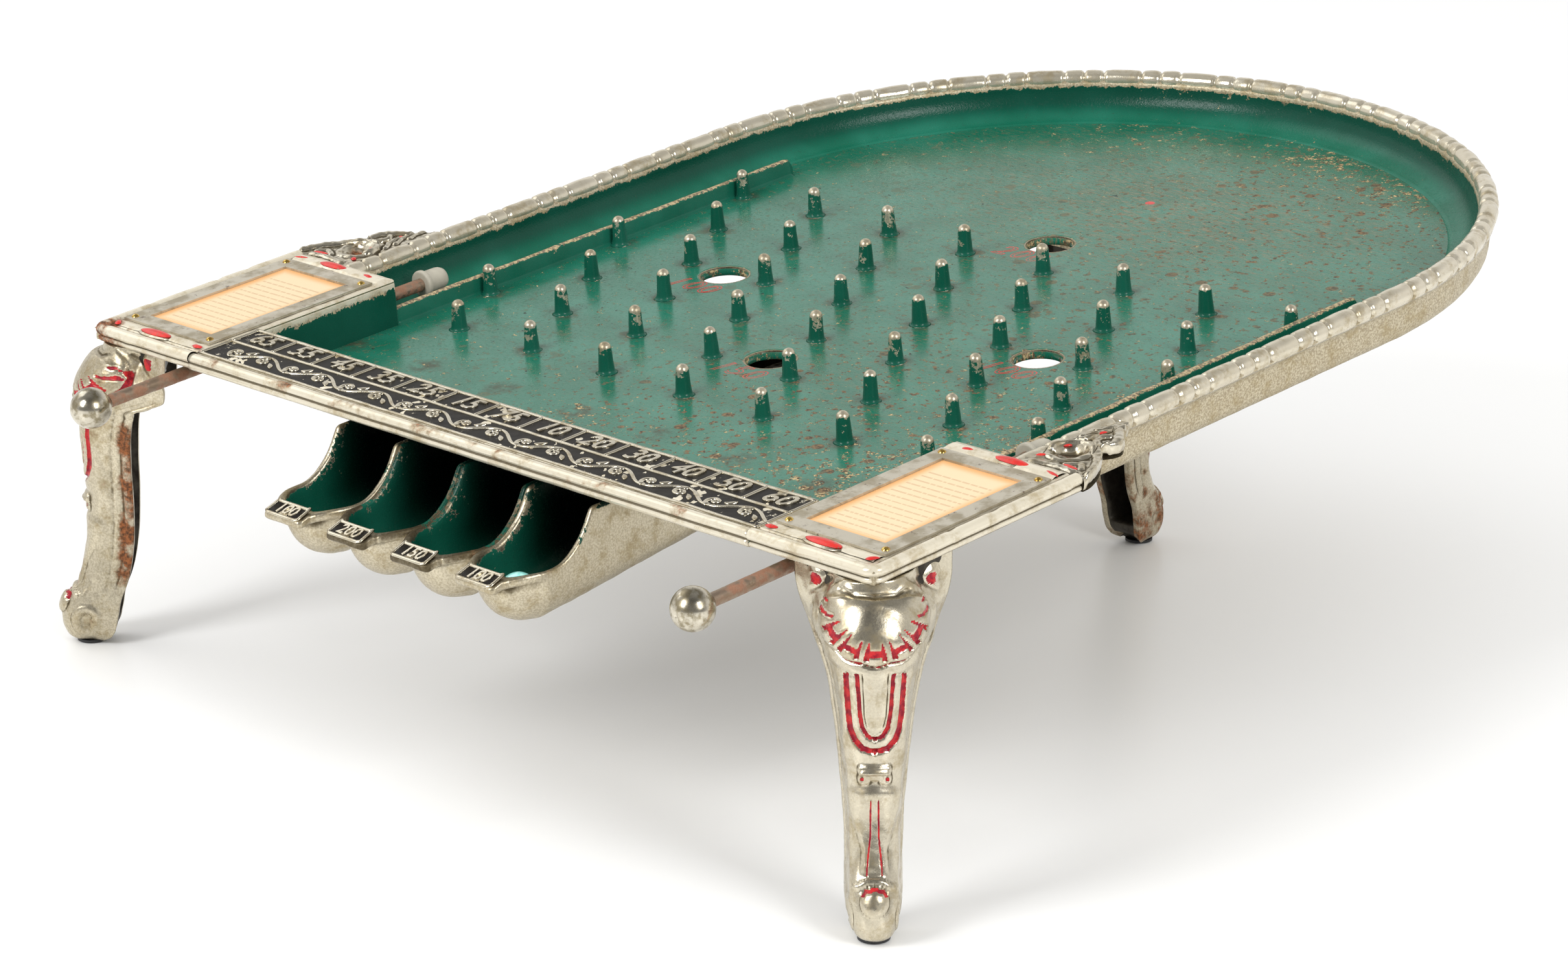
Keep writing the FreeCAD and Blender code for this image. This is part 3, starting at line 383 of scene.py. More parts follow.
CAST = casting("cast_nickel", 0.30)
SAND = casting("sand_cast_nickel", 1.0, sandy=0.8)
LEG = casting("leg_nickel", 0.4, sandy=0.2)
WORN_LEG = casting("worn_leg_nickel", 0.6, sandy=0.5)
CUP = casting("cup_nickel", 0.8, sandy=0.55)
FLOOR = casting("floor_enamel", 0.22, floor=True)
POLISHED = plain_metal("polished_nickel", tint(204, 197, 180), tint(144, 134, 110), 0.17, 0.34, 5.0)
BRASS = plain_metal("brass", tint(224, 190, 104), tint(160, 120, 56), 0.2, 0.34, 2.0)
STEEL = plain_metal("steel", tint(150, 148, 142), tint(94, 84, 72), 0.3, 0.5)
DARK_IRON = plain_metal("dark_iron", tint(70, 66, 58), tint(44, 38, 32), 0.5, 0.7, 12.0, 0.7, 0.5)
FELT = soft_material("felt", tint(92, 78, 60), tint(64, 52, 40))
PAD = soft_material("black_pad", tint(26, 26, 27), tint(38, 38, 40))
GREY_RUBBER = soft_material("grey_rubber", tint(176, 171, 156), tint(150, 145, 131))
ROD = rusty_rod()
ZINC = zinc_sheet()
CARD = card_paper()
RED = red_enamel()
MARBLE = marble_glass()


# Mesh helpers: a shape is (points, faces), with points in millimetres
def ripple(points, length, seed):
    """A smooth pseudo-random field between about -1 and 1, with features so many millimetres long."""
    source = np.random.default_rng(seed)
    total = np.zeros(len(points))
    for _ in range(7):
        direction = source.normal(size=3)
        direction *= 2 * math.pi / (length * source.uniform(0.7, 1.5)) / np.linalg.norm(direction)
        total += np.sin(points @ direction + source.uniform(0, 2 * math.pi))
    return total / 3.0


def grid_faces(rows, columns, wrap_columns):
    """The faces between the points of a grid, closed round its columns where asked."""
    faces = []
    for i in range(rows - 1):
        for j in range(columns if wrap_columns else columns - 1):
            here, beyond = i * columns, (i + 1) * columns
            after = (j + 1) % columns
            faces.append((here + j, here + after, beyond + after, beyond + j))
    return faces


def facing(points, faces):
    """The summed area vector of a shape's quads, and the volume that they enclose if it is closed."""
    corners = points[np.array(faces)]
    area = np.cross(corners[:, 2] - corners[:, 0], corners[:, 3] - corners[:, 1])
    return area.sum(axis=0), np.sum(area * corners.mean(axis=1))


def surface(points, wrap_columns=False, towards=up):
    """A grid of points (rows, columns, 3) as a shape that faces the given way."""
    points = np.asarray(points, float)
    rows, columns = points.shape[:2]
    points = points.reshape(-1, 3)
    faces = grid_faces(rows, columns, wrap_columns)
    if np.dot(facing(points, faces)[0], towards) < 0:
        faces = [face[::-1] for face in faces]
    return points, faces


def sheet(xs, ys, z):
    """A finely divided level sheet."""
    grid = np.zeros((len(xs), len(ys), 3))
    grid[:, :, 0], grid[:, :, 1] = xs[:, None], ys[None, :]
    grid[:, :, 2] = z
    return surface(grid)


def capped_tube(points):
    """Rings of points closed at both ends, facing outwards."""
    points = np.asarray(points, float)
    rows, columns = points.shape[:2]
    points = points.reshape(-1, 3)
    faces = grid_faces(rows, columns, True)
    first, last = tuple(range(columns)), tuple(range((rows - 1) * columns, rows * columns))
    if facing(points - points.mean(axis=0), faces)[1] < 0:
        return points, [face[::-1] for face in faces] + [first, last[::-1]]
    return points, faces + [first[::-1], last]


def merged(shapes):
    """Several shapes as one."""
    points, faces, start = [], [], 0
    for shape_points, shape_faces in shapes:
        points.append(np.asarray(shape_points, float))
        faces += [tuple(index + start for index in face) for face in shape_faces]
        start += len(shape_points)
    return np.concatenate(points), faces


def mirrored(shape):
    """The same shape on the other side of the board."""
    points, faces = shape
    return points * np.array([-1.0, 1.0, 1.0]), [tuple(reversed(face)) for face in faces]


def sided(shape, side):
    """A shape drawn for the right, or its mirror image for the left."""
    return shape if side > 0 else mirrored(shape)


def spread(*runs):
    """Evenly spaced values from each start to each end, one run after another."""
    return np.concatenate([np.linspace(*run) for run in runs])


def level_path(x, y, z):
    """A path at one height; x or y may be one number."""
    x, y = np.broadcast_arrays(x, y)
    return np.stack([x, y, np.full(len(x), z)], axis=1)


def lathe(profile, steps=32):
    """A profile of (radius, height) points turned about the vertical."""
    turns = np.linspace(0, 2 * math.pi, steps, endpoint=False)
    rings = [[(radius * math.cos(turn), radius * math.sin(turn), height) for turn in turns]
             for radius, height in profile]
    return capped_tube(np.array(rings))


def arc_points(centre, radius, start, end, count):
    """(radius, height) points on an arc, with its angles in degrees."""
    angles = [math.radians(angle) for angle in np.linspace(start, end, count)]
    return [(centre[0] + radius * math.cos(angle), centre[1] + radius * math.sin(angle)) for angle in angles]


def ribbon(path, half_width, height, square=0.6, sides=7):
    """A raised rounded bar along points on the board."""
    path = np.asarray(path, float)
    half_width = np.broadcast_to(half_width, len(path))
    height = np.broadcast_to(height, len(path))
    heading = np.gradient(path, axis=0)
    heading[:, 2] = 0
    heading /= np.linalg.norm(heading, axis=1)[:, None] + 1e-9
    side = np.stack([-heading[:, 1], heading[:, 0], np.zeros(len(path))], axis=1)
    rings = []
    for angle in np.linspace(0, math.pi, sides):
        lift = math.sin(angle) ** square
        rings.append(path + side * (half_width * math.cos(angle))[:, None] + up * (height * lift)[:, None])
    rings.append(path - side * half_width[:, None] * 0.9 - up * 0.25)
    rings.append(path + side * half_width[:, None] * 0.9 - up * 0.25)
    return capped_tube(np.stack(rings, axis=1))


def lens(x, y, z, length, width, height, angle=0.0, uneven=0.0, seed=1):
    """A low oval dome, such as a cabochon or a dab of enamel."""
    turns = np.linspace(0, 2 * math.pi, 36, endpoint=False)
    source = np.random.default_rng(seed)
    waves = [source.uniform(-1, 1) * np.cos(k * turns + source.uniform(0, 6)) for k in (2, 3, 5)]
    wobble = 1 + uneven * sum(waves)
    rings = []
    for share in (1.0, 0.93, 0.8, 0.6, 0.35, 0.1):
        rise = height * (1 - share ** 2.4)
        px = length / 2 * share * wobble * np.cos(turns)
        py = width / 2 * share * wobble * np.sin(turns)
        turn = math.radians(angle)
        rings.append(np.stack([x + px * math.cos(turn) - py * math.sin(turn),
                               y + px * math.sin(turn) + py * math.cos(turn),
                               np.full_like(px, z + rise)], axis=1))
    return capped_tube(np.array(rings))


def cavity_of(mesh):
    """How hollow the surface is at each vertex: above 0 in a groove, below 0 on an edge."""
    count = len(mesh.vertices)
    place = np.zeros(count * 3)
    mesh.vertices.foreach_get("co", place)
    normal = np.zeros(count * 3)
    mesh.vertices.foreach_get("normal", normal)
    place, normal = place.reshape(-1, 3), normal.reshape(-1, 3)
    pairs = np.zeros(len(mesh.edges) * 2, int)
    mesh.edges.foreach_get("vertices", pairs)
    a, b = pairs.reshape(-1, 2).T
    span = place[b] - place[a]
    length = np.linalg.norm(span, axis=1) + 1e-9
    bend, share = np.zeros(count), np.zeros(count) + 1e-9
    for start, end, sign in ((a, b, 1.0), (b, a, -1.0)):
        np.add.at(bend, start, sign * np.sum(span * normal[start], axis=1) / length ** 2 * MM)
        np.add.at(share, start, 1.0)
    bend /= share
    for _ in range(2):
        total, near = bend.copy(), np.ones(count)
        np.add.at(total, a, bend[b])
        np.add.at(total, b, bend[a])
        np.add.at(near, a, 1.0)
        np.add.at(near, b, 1.0)
        bend = total / near
    return np.clip(bend * 2.2, -1, 1)


def piece(name, shape, material, body="board", place=BOARD, masks=None, hides=(),
          hollow=True, second=None, weld=False):
    """Make a shape into an object of the model, with its masks, and let it ride on its body."""
    points, faces = shape
    mesh = bpy.data.meshes.new(name)
    mesh.from_pydata((np.asarray(points) * MM).tolist(), [], faces)
    mesh.update()
    mesh.materials.append(material)
    mesh.shade_smooth()
    if second:
        mesh.materials.append(second[0])
        chosen = [int(second[1][face[0]] and second[1][face[2]]) for face in faces]
        mesh.polygons.foreach_set("material_index", chosen)
    for key, values in (masks or {}).items():
        layer = mesh.attributes.new(key, "FLOAT", "POINT")
        layer.data.foreach_set("value", np.broadcast_to(values, len(points)).astype(np.float32))
    if weld:
        tidy = bmesh.new()
        tidy.from_mesh(mesh)
        bmesh.ops.remove_doubles(tidy, verts=tidy.verts, dist=0.01 * MM)
        tidy.to_mesh(mesh)
        tidy.free()
    if hollow:
        layer = mesh.attributes.new("cavity", "FLOAT", "POINT")
        layer.data.foreach_set("value", cavity_of(mesh).astype(np.float32))
    made = bpy.data.objects.new(name, mesh)
    bpy.context.scene.collection.objects.link(made)
    made.matrix_world = place
    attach(made, body)
    if hides:
        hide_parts(*hides)
    return made


def ramp(values, low, high):
    """A smooth step from 0 at low to 1 at high, either way round."""
    share = np.clip((np.asarray(values, float) - low) / (high - low), 0, 1)
    return share * share * (3 - 2 * share)


def smooth_table(rows, at):
    """Smooth curves through the rows of a table whose first column is the place."""
    rows = np.asarray(rows, float)
    x, y = rows[:, 0], rows[:, 1:]
    slope = np.gradient(y, x, axis=0)
    k = np.clip(np.searchsorted(x, at) - 1, 0, len(x) - 2)
    span = (x[k + 1] - x[k])[:, None]
    t = (np.asarray(at) - x[k])[:, None] / span
    start, end = 2 * t ** 3 - 3 * t ** 2 + 1, 3 * t ** 2 - 2 * t ** 3
    leaving, arriving = t ** 3 - 2 * t ** 2 + t, t ** 3 - t ** 2
    return start * y[k] + end * y[k + 1] + span * (leaving * slope[k] + arriving * slope[k + 1])


def path_distance(x, y, path):
    """Distance from points to a line through the path's points."""
    best = np.full(np.shape(x), 1e9)
    for (ax, ay), (bx, by) in zip(path, path[1:]):
        dx, dy = bx - ax, by - ay
        share = np.clip(((x - ax) * dx + (y - ay) * dy) / (dx * dx + dy * dy), 0, 1)
        best = np.minimum(best, np.hypot(x - ax - share * dx, y - ay - share * dy))
    return best


def bump_of(distance, half):
    """A round ridge: 1 on its line, falling to 0 at the half width."""
    return np.sqrt(np.clip(1 - (distance / half) ** 2, 0, 1))


def groove_of(distance, half):
    """A channel with a flat floor and soft sides: 1 inside, 0 beyond the half width."""
    return ramp(distance, half, half * 0.45)


def spot(points, x, y, size):
    """A soft round region on the board: 1 at its middle, falling to 0."""
    return np.exp(-((points[:, 0] - x) ** 2 + (points[:, 1] - y) ** 2) / size ** 2)


# The tray's wall, swept round the horseshoe, with the bead and reel rim on it
def rim_stations(spacing):
    """Places along the horseshoe: the point on the centre line and the outward direction, with the run."""
    side = bend_centre_y - block_rear_y
    total = 2 * side + math.pi * bead_centre
    count = int(total / spacing) + 1
    runs = np.linspace(0, total, count)
    stations = []
    for run in runs:
        if run <= side:
            stations.append((0.0, block_rear_y + run, 1.0, 0.0))
        elif run < total - side:
            turn = (run - side) / bead_centre
            stations.append((0.0, bend_centre_y, math.cos(turn), math.sin(turn)))
        else:
            stations.append((0.0, bend_centre_y - (run - total + side), -1.0, 0.0))
    return runs, np.array(stations)


def swept(stations, section):
    """Carry a section of (distance from the centre line, height) along the stations."""
    section = np.asarray(section, float)
    x = stations[:, 0, None] + stations[:, 2, None] * section[None, :, 0]
    y = stations[:, 1, None] + stations[:, 3, None] * section[None, :, 0]
    z = np.broadcast_to(section[None, :, 1], x.shape)
    return np.stack([x, y, z], axis=2)


def beside(stations, reach, height):
    """A line along the rim, at distances and heights given as one number or one for each station."""
    x = stations[:, 0] + stations[:, 2] * reach
    y = stations[:, 1] + stations[:, 3] * reach
    return np.stack([x, y, np.broadcast_to(height, x.shape)], axis=1)


def make_tray_wall():
    """The green fillet and wall, with the bare cast outside below the rim."""
    _, stations = rim_stations(3.0)
    section = [(floor_half, coat)]
    section += arc_points((floor_half, wall_fillet + coat), wall_fillet - coat, -80, -2, 12)
    section += [(wall_inner - coat, 15.6), (wall_inner + 0.5, 17.0), (bead_centre, 18.0), (208.4, 15.6)]
    section += [(207.4, 13.6), (206.2, 12.4), (205.6, 10.6), (205.3, 7.0), (205.0, 3.0), (204.2, -0.4)]
    section += [(202.6, -2.8), (200.0, -3.9), (196.0, -4.1), (191.0, -4.1), (floor_half, -4.1)]
    points = swept(stations, section)
    shape = capped_tube(points)
    flat = shape[0]
    first_outside = 15
    outer = np.tile(np.arange(len(section)) >= first_outside, len(stations))
    flat[outer] += (ripple(flat[outer], 16.0, 3) * 0.14)[:, None] * np.array([0.6, 0.6, 1.0])
    flat[~outer, 2] += ripple(flat[~outer], 55.0, 4) * 0.05 * ramp(flat[~outer, 2], 0.5, 4.0)
    reach = np.tile([radius for radius, _ in section], len(stations))
    paint = np.where(outer, 0.0, 1.0) * (1 - 0.75 * ramp(flat[:, 2], 13.2, 17.2))
    paint = np.where((flat[:, 2] < -3.0) | (reach > wall_inner + 4), 0.0, paint)
    wear = 0.04 + 0.10 * ramp(flat[:, 2], 6, 15)
    wear += 0.16 * spot(flat, -40, 420, 90) + 0.12 * spot(flat, 90, 415, 60)
    # Painted shade: the wall's green darkens as it rises from the floor
    piece("tray_wall_cast", shape, SAND, hides=["tray_wall"],
          masks={"paint": paint, "wear": wear, "tan": 0.5, "shade": 0.85 * ramp(flat[:, 2], 0.6, 8.0)})


def make_rim_beads():
    """Long, short, short: one moulding whose girth swells and nips in along the rim."""
    runs, stations = rim_stations(0.8)
    total = runs[-1]
    pattern = [long_bead, short_bead, short_bead]
    repeats = round(total / sum(pattern))
    fit = total / (repeats * sum(pattern))
    edges = np.concatenate([[0], np.cumsum([length * fit for length in pattern * repeats])])
    index = np.clip(np.searchsorted(edges, runs, side="right") - 1, 0, len(edges) - 2)
    middle, half = (edges[index] + edges[index + 1]) / 2, (edges[index + 1] - edges[index]) / 2
    away = np.abs(runs - middle) / half
    source = np.random.default_rng(11)
    worn = source.uniform(0.95, 1.01, len(edges))[index]
    end_gap = np.clip(1 - (1 - away) * half / 1.5, 0, 1)
    girth = bead_radius * worn * (0.99 - 0.07 * away ** 2 - 0.36 * end_gap ** 2.0)
    turns = np.radians(np.linspace(-38, 218, 15))
    rings = []
    for turn in turns:
        reach = bead_centre + girth * math.cos(turn)
        rings.append(beside(stations, reach, bead_height + girth * math.sin(turn)))
    rings.append(beside(stations, wall_inner + 1.5, 14.6))
    rings.append(beside(stations, bead_centre + 3.4, 13.9))
    shape = capped_tube(np.stack(rings, axis=1))
    points = shape[0]
    points += (ripple(points, 9.0, 5) * 0.10)[:, None] * np.array([0.5, 0.5, 1.0])
    distance = np.hypot(points[:, 0], np.maximum(points[:, 1] - bend_centre_y, 0))
    inner = ramp(distance, bead_centre - 2.4, bead_centre - 4.4) * ramp(points[:, 2], 17.5, 15.0)
    piece("rim_moulding", shape, CAST, hides=["rim_beads"],
          masks={"paint": inner * 0.8, "wear": 0.1, "tan": 0.3,
                 "rust": 0.06 + 0.16 * spot(points, 60, 430, 70)})


def floor_outline():
    """The edge of the playfield: round the horseshoe and across the front."""
    _, stations = rim_stations(3.0)
    rim = swept(stations, [(floor_half, 0.0)])[:, 0, :2]
    front = [(-play_half, block_rear_y), (-play_half, strip_rear_y), (play_half, strip_rear_y),
             (play_half, block_rear_y)]
    return [tuple(place) for place in rim] + front


def ring(x, y, radius, count=48):
    """Places round a circle on the board."""
    turns = np.linspace(0, 2 * math.pi, count, endpoint=False)
    return [(x + radius * math.cos(turn), y + radius * math.sin(turn)) for turn in turns]


def inside(x, y):
    """Whether a place is on the playfield."""
    if y < strip_rear_y or y > bend_centre_y + floor_half:
        return False
    if y < block_rear_y:
        return abs(x) < play_half
    return abs(x) < floor_half if y < bend_centre_y else math.hypot(x, y - bend_centre_y) < floor_half


def make_floor_coat():
    """The enamelled face of the playfield, with rounded lips to its four holes."""
    lip = 1.3
    outline = floor_outline()
    loops = [outline] + [ring(x, y, hole_radius + lip) for x, y in holes]
    loops += [ring(x, y, hole_radius + lip + 1.0) for x, y in holes]
    places, edges = [], []
    for loop in loops:
        start = len(places)
        places += loop
        edges += [(start + k, start + (k + 1) % len(loop)) for k in range(len(loop))]
    grid_step = 5.0
    for gx in np.arange(-floor_half, floor_half, grid_step):
        for gy in np.arange(strip_rear_y, bend_centre_y + floor_half, grid_step):
            clear = all(math.hypot(gx - x, gy - y) > hole_radius + lip + 2.5 for x, y in holes)
            if clear and inside(gx - 2, gy - 2) and inside(gx + 2, gy + 2) and inside(gx - 2, gy + 2):
                places.append((gx, gy))
    found = geometry.delaunay_2d_cdt([Vector(place) for place in places], edges, [], 0, 1e-5)
    verts = np.array([(v.x, v.y, coat) for v in found[0]])
    faces = []
    for face in found[2]:
        cx, cy = verts[list(face), 0].mean(), verts[list(face), 1].mean()
        if inside(cx, cy) and all(math.hypot(cx - x, cy - y) > hole_radius + lip - 0.05 for x, y in holes):
            faces.append(tuple(face))
    shapes = [(verts, faces)]
    for x, y in holes:
        profile = [(lip, coat), (0.75, coat - 0.12), (0.2, coat - 0.55), (-coat, coat - 1.2), (-coat, -2.6),
                   (-coat, -4.0), (0.4, -4.3), (1.2, -4.15)]
        rings = [[(px, py, height) for px, py in ring(x, y, hole_radius + reach)]
                 for reach, height in profile]
        shapes.append(surface(np.array(rings), wrap_columns=True))
    points, faces = merged(shapes)
    from_rims = [np.hypot(points[:, 0] - x, points[:, 1] - y) - hole_radius for x, y in holes]
    rim_near = np.min(np.abs(from_rims), axis=0)
    flat = ramp(rim_near, 2.5, 12.0)
    points[:, 2] += ripple(points, 70.0, 21) * 0.06 * flat
    x, y = points[:, 0], points[:, 1]
    worn_places = ((-22, -52, 22, 0.24), (60, -60, 60, 0.12), (150, -40, 55, 0.30), (166, 10, 40, 0.24),
                   (150, 80, 60, 0.14), (60, 395, 70, 0.10), (30, 402, 26, 0.30), (92, 388, 24, 0.26),
                   (-60, 385, 40, 0.18), (-110, -70, 30, 0.10))
    wear = 0.06 + sum(share * spot(points, *place) for *place, share in worn_places)
    wear += 0.35 * ramp(rim_near, 1.6, 0.2)
    stain = np.clip(0.25 + 0.7 * spot(points, 120, 20, 110) + 0.7 * spot(points, 40, -40, 90)
                    + 0.6 * spot(points, 60, 320, 120) + 0.3 * ramp(x, -60, 120), 0, 1)
    scratch = np.clip(0.95 * np.exp(-((x - 20) / 130) ** 2 - ((y - 305) / 85) ** 2)
                      + 0.25 * spot(points, 60, 60, 120), 0, 1)
    piece("playfield_enamel", (points, faces), FLOOR, hollow=False,
          masks={"paint": 1.0, "wear": wear, "stain": stain, "scratch": scratch, "tan": 1.0})


def make_pegs():
    """45 tapered pegs with a flared foot; each leans a little and its tip is worn."""
    profile = [(4.9, coat), (4.2, 0.45), (3.75, 1.0), (3.5, 1.9), (3.38, 3.2), (3.2, 5.6), (3.02, 8.4),
               (2.85, 11.2)]
    profile += [(2.8 * math.cos(turn), 11.62 + 2.8 * math.sin(turn)) for turn in np.linspace(0.12, 1.5, 7)]
    source = np.random.default_rng(4)
    shapes, wear = [], []
    for row, count in enumerate(pegs_in_row):
        for k in range(count):
            x, y = (k - (count - 1) / 2) * peg_pitch, row * row_pitch
            points, faces = lathe(profile, 26)
            girth = source.uniform(0.97, 1.03)
            points[:, :2] *= girth
            points[:, 2] = coat + (points[:, 2] - coat) * source.uniform(0.965, 0.998)
            lean = source.normal(0, 0.012, 2)
            points[:, 0] += lean[0] * points[:, 2]
            points[:, 1] += lean[1] * points[:, 2]
            points += (ripple(points + (x, y, 0), 5.0, 8) * 0.05)[:, None] * np.array([1, 1, 0])
            bare = source.uniform(0.0, 0.16) + 0.75 * ramp(points[:, 2], 11.2, 13.6)
            struck = np.cos(np.arctan2(points[:, 1], points[:, 0]) - source.uniform(-2.6, -0.4))
            bare += source.uniform(0.05, 0.28) * np.clip(struck, 0, 1) * ramp(points[:, 2], 3.0, 7.0)
            wear.append(bare)
            shapes.append((points + (x, y, 0), faces))
    # The pegs' green is darkened a little as painted shade
    piece("pegs_cast", merged(shapes), CAST, hides=["pegs"],
          masks={"paint": 1.0, "wear": np.concatenate(wear), "tan": 0.25, "shade": 0.6})


def make_fences():
    """The two ball-lane fences: slim cast walls with a worn, slightly uneven top."""
    near, far, height = play_half, 175.2, 8.4
    half = [(-1.6, coat), (-0.5, 0.5), (0.0, 1.6), (0.05, height - 1.0), (0.5, height - 0.2), (1.3, height)]
    section = [(near + shift, z) for shift, z in half] + [(far - shift, z) for shift, z in half[::-1]]
    section = np.array(section + [(far + 1.6, -1.0), (near - 1.6, -1.0)])
    runs = np.linspace(block_rear_y, 242.0, 130)
    for side, name in ((1, "right"), (-1, "left")):
        rings = np.zeros((len(runs), len(section), 3))
        rings[:, :, 0] = section[None, :, 0]
        rings[:, :, 1] = runs[:, None]
        rings[:, :, 2] = section[None, :, 1]
        end = ramp(runs, 242.0, 239.6)[:, None]
        rings[:, :, 2] = np.where(rings[:, :, 2] > 1.0, rings[:, :, 2] * (0.55 + 0.45 * end), rings[:, :, 2])
        points, faces = capped_tube(rings)
        lift = ramp(points[:, 2], 3.0, 8.0)
        points[:, 2] += ripple(points, 24.0, 30 + side) * 0.14 * lift
        points[:, 0] += ripple(points, 30.0, 40 + side) * 0.10 * lift
        top = ramp(points[:, 2], height - 1.2, height - 0.1)
        wear = 0.05 + 0.42 * top + 0.12 * ramp(points[:, 1], 120, -10) * top
        shape = sided((points, faces), side)
        # The fences' green is darkened a little as painted shade
        piece("ball_lane_fence_" + name, shape, CAST, hides=["lane_fence_" + name],
              masks={"paint": 1.0, "wear": wear, "tan": 0.8, "shade": 0.35})


# Figures: every figure is a plain number
def figures(text, size, x, y, z, depth, round_off, shear=0.0, bold=0.0, hollow=False):
    """A number as a raised shape, centred on a place of the board."""
    curve = bpy.data.curves.new("figures", "FONT")
    curve.body = text
    curve.size = size
    curve.align_x = "CENTER"
    curve.align_y = "CENTER"
    curve.shear = shear
    curve.offset = bold
    curve.resolution_u = 3
    curve.space_character = 1.2 if hollow else 1.0
    curve.bevel_resolution = 2
    if hollow:
        curve.fill_mode = "NONE"
        curve.bevel_depth = depth
    else:
        curve.extrude = depth
        curve.bevel_depth = round_off
    holder = bpy.data.objects.new("figures", curve)
    bpy.context.scene.collection.objects.link(holder)
    bpy.context.view_layer.update()
    mesh = bpy.data.meshes.new_from_object(holder.evaluated_get(bpy.context.evaluated_depsgraph_get()))
    points = np.array([v.co for v in mesh.vertices], float)
    faces = [tuple(p.vertices) for p in mesh.polygons]
    bpy.data.objects.remove(holder)
    bpy.data.curves.remove(curve)
    bpy.data.meshes.remove(mesh)
    if hollow:
        points[:, 2] *= 0.3
    return points + (x, y, z), faces


def make_painted_numbers():
    """Thin red outlined numbers before the holes, and the red spot that marks the rear of the field."""
    shapes = []
    for (x, y), text in zip(holes, hole_names):
        shapes.append(figures(text, 16.0, x - 2.5, y - 18.5, coat, 0.24, 0.0, shear=0.25, hollow=True))
    piece("painted_numbers", merged(shapes), RED, hollow=False)
    piece("red_spot", lens(0.0, 306.0, coat - 0.05, 7.2, 7.0, 0.12, uneven=0.02, seed=5), RED,
          hollow=False)


# The score strip before the playfield
def front_section(reach):
    """The moulded front: fascia, groove and round bar, as (distance behind the front, height)."""
    fascia = [(1.7, rail_edge), (0.7, rail_edge + 0.35), (0.2, 16.5), (0.05, 17.4), (0.3, 18.2), (1.15, 18.6)]
    bar = [(1.2, 18.9), (0.75, 19.4), (0.55, 20.2), (0.8, 21.0), (1.5, 21.8), (2.5, 22.2), (3.6, 22.3),
           (4.7, 21.9)]
    ledge = [(5.3, 21.2), (5.9, 21.1), (6.4, 21.6)]
    return fascia + bar + ledge + [(reach, 21.6)]


def make_score_strip():
    """The body of the strip: moulded front, and the green drop to the playfield."""
    depth = strip_rear_y - front_y
    section = front_section(depth - 0.8)
    section += [(depth - 0.15, 21.2), (depth + coat, 20.2), (depth + coat, 10.0), (depth + coat, 1.2),
                (depth + 0.6, coat), (depth + 0.6, -4.1), (depth - 4.0, -4.1), (depth - 4.0, 17.6),
                (10.0, 17.6), (9.4, rail_edge)]
    section = np.array(section)
    across = np.linspace(-play_half, play_half, 170)
    rings = np.zeros((len(across), len(section), 3))
    rings[:, :, 0] = across[:, None]
    rings[:, :, 1] = front_y + section[None, :, 0]
    rings[:, :, 2] = section[None, :, 1]
    shape = capped_tube(rings)
    points = shape[0]
    points[:, 2] += ripple(points, 26.0, 51) * 0.07
    points[:, 1] += ripple(points, 40.0, 52) * 0.08
    behind = points[:, 1] - front_y
    paint = np.where(behind > depth, 1.0, 0.0) * ramp(points[:, 2], 21.6, 18.5)
    on_bar = ramp(behind, 7, 4) * ramp(points[:, 2], 18.0, 19.5)
    rust = 0.14 + (0.27 + 0.06 * ripple(points, 45.0, 53)) * on_bar
    piece("score_strip", shape, CAST, hides=["score_panel"],
          masks={"paint": paint, "wear": 0.10, "rust": rust, "tan": 0.6})


def make_strip_face():
    """Black ground, raised borders and numbers, and a band of running scrolls where no words stand."""
    ground_z = 21.62
    xs = np.linspace(-play_half + 0.6, play_half - 0.6, 300)
    ys = np.linspace(front_y + 6.4, strip_rear_y - 1.0, 34)
    points, faces = sheet(xs, ys, ground_z)
    points[:, 2] += 0.05 + ripple(points, 5.0, 61) * 0.05 + ripple(points, 2.2, 62) * 0.03
    ends = ramp(np.abs(points[:, 0]), play_half - 22, play_half) * 0.22
    piece("strip_ground", (points, faces), CAST,
          masks={"black": 1.0, "wear": 0.17 + ends, "tan": 0.5}, hollow=False)

    name_line = front_y + 24.6
    rear_line = strip_rear_y - 0.9
    shapes = []
    along = np.linspace(-play_half, play_half, 140)

    def line_across(y, width, height):
        path = level_path(along, y, ground_z)
        path[:, 1] += ripple(path, 30.0, int(abs(y))) * 0.12
        shapes.append(ribbon(path, width / 2, height + ripple(path, 12.0, int(abs(y)) + 1) * 0.06))
    line_across(front_y + 7.0, 1.5, 0.75)
    line_across(name_line, 1.6, 0.8)
    line_across(rear_line, 1.9, 0.85)
    pitch = (2 * play_half - 1.8) / len(score_numbers)
    for k in range(len(score_numbers) + 1):
        x = -play_half + 0.9 + k * pitch
        ys = np.linspace(name_line, rear_line, 9)
        path = level_path(x, ys, ground_z)
        path[:, 0] += ripple(path, 9.0, k + 70) * 0.1
        shapes.append(ribbon(path, 0.85, 0.8))
    for x in (-play_half + 0.9, play_half - 0.9):
        ys = np.linspace(front_y + 7.0, name_line, 12)
        path = level_path(x, ys, ground_z)
        shapes.append(ribbon(path, 0.85, 0.8))
    for k, text in enumerate(score_numbers):
        x = -play_half + 0.9 + (k + 0.5) * pitch
        middle = (name_line + rear_line) / 2
        shapes.append(figures(text, 14.2, x, middle, ground_z + 0.3, 0.36, 0.22, shear=0.18))
    shapes += running_scrolls(front_y + 15.9, ground_z)
    shape = merged(shapes)
    points = shape[0]
    points[:, 2] += ripple(points, 3.0, 63) * 0.04
    piece("strip_relief", shape, CAST, masks={"wear": 0.2, "rust": 0.12}, hollow=False)


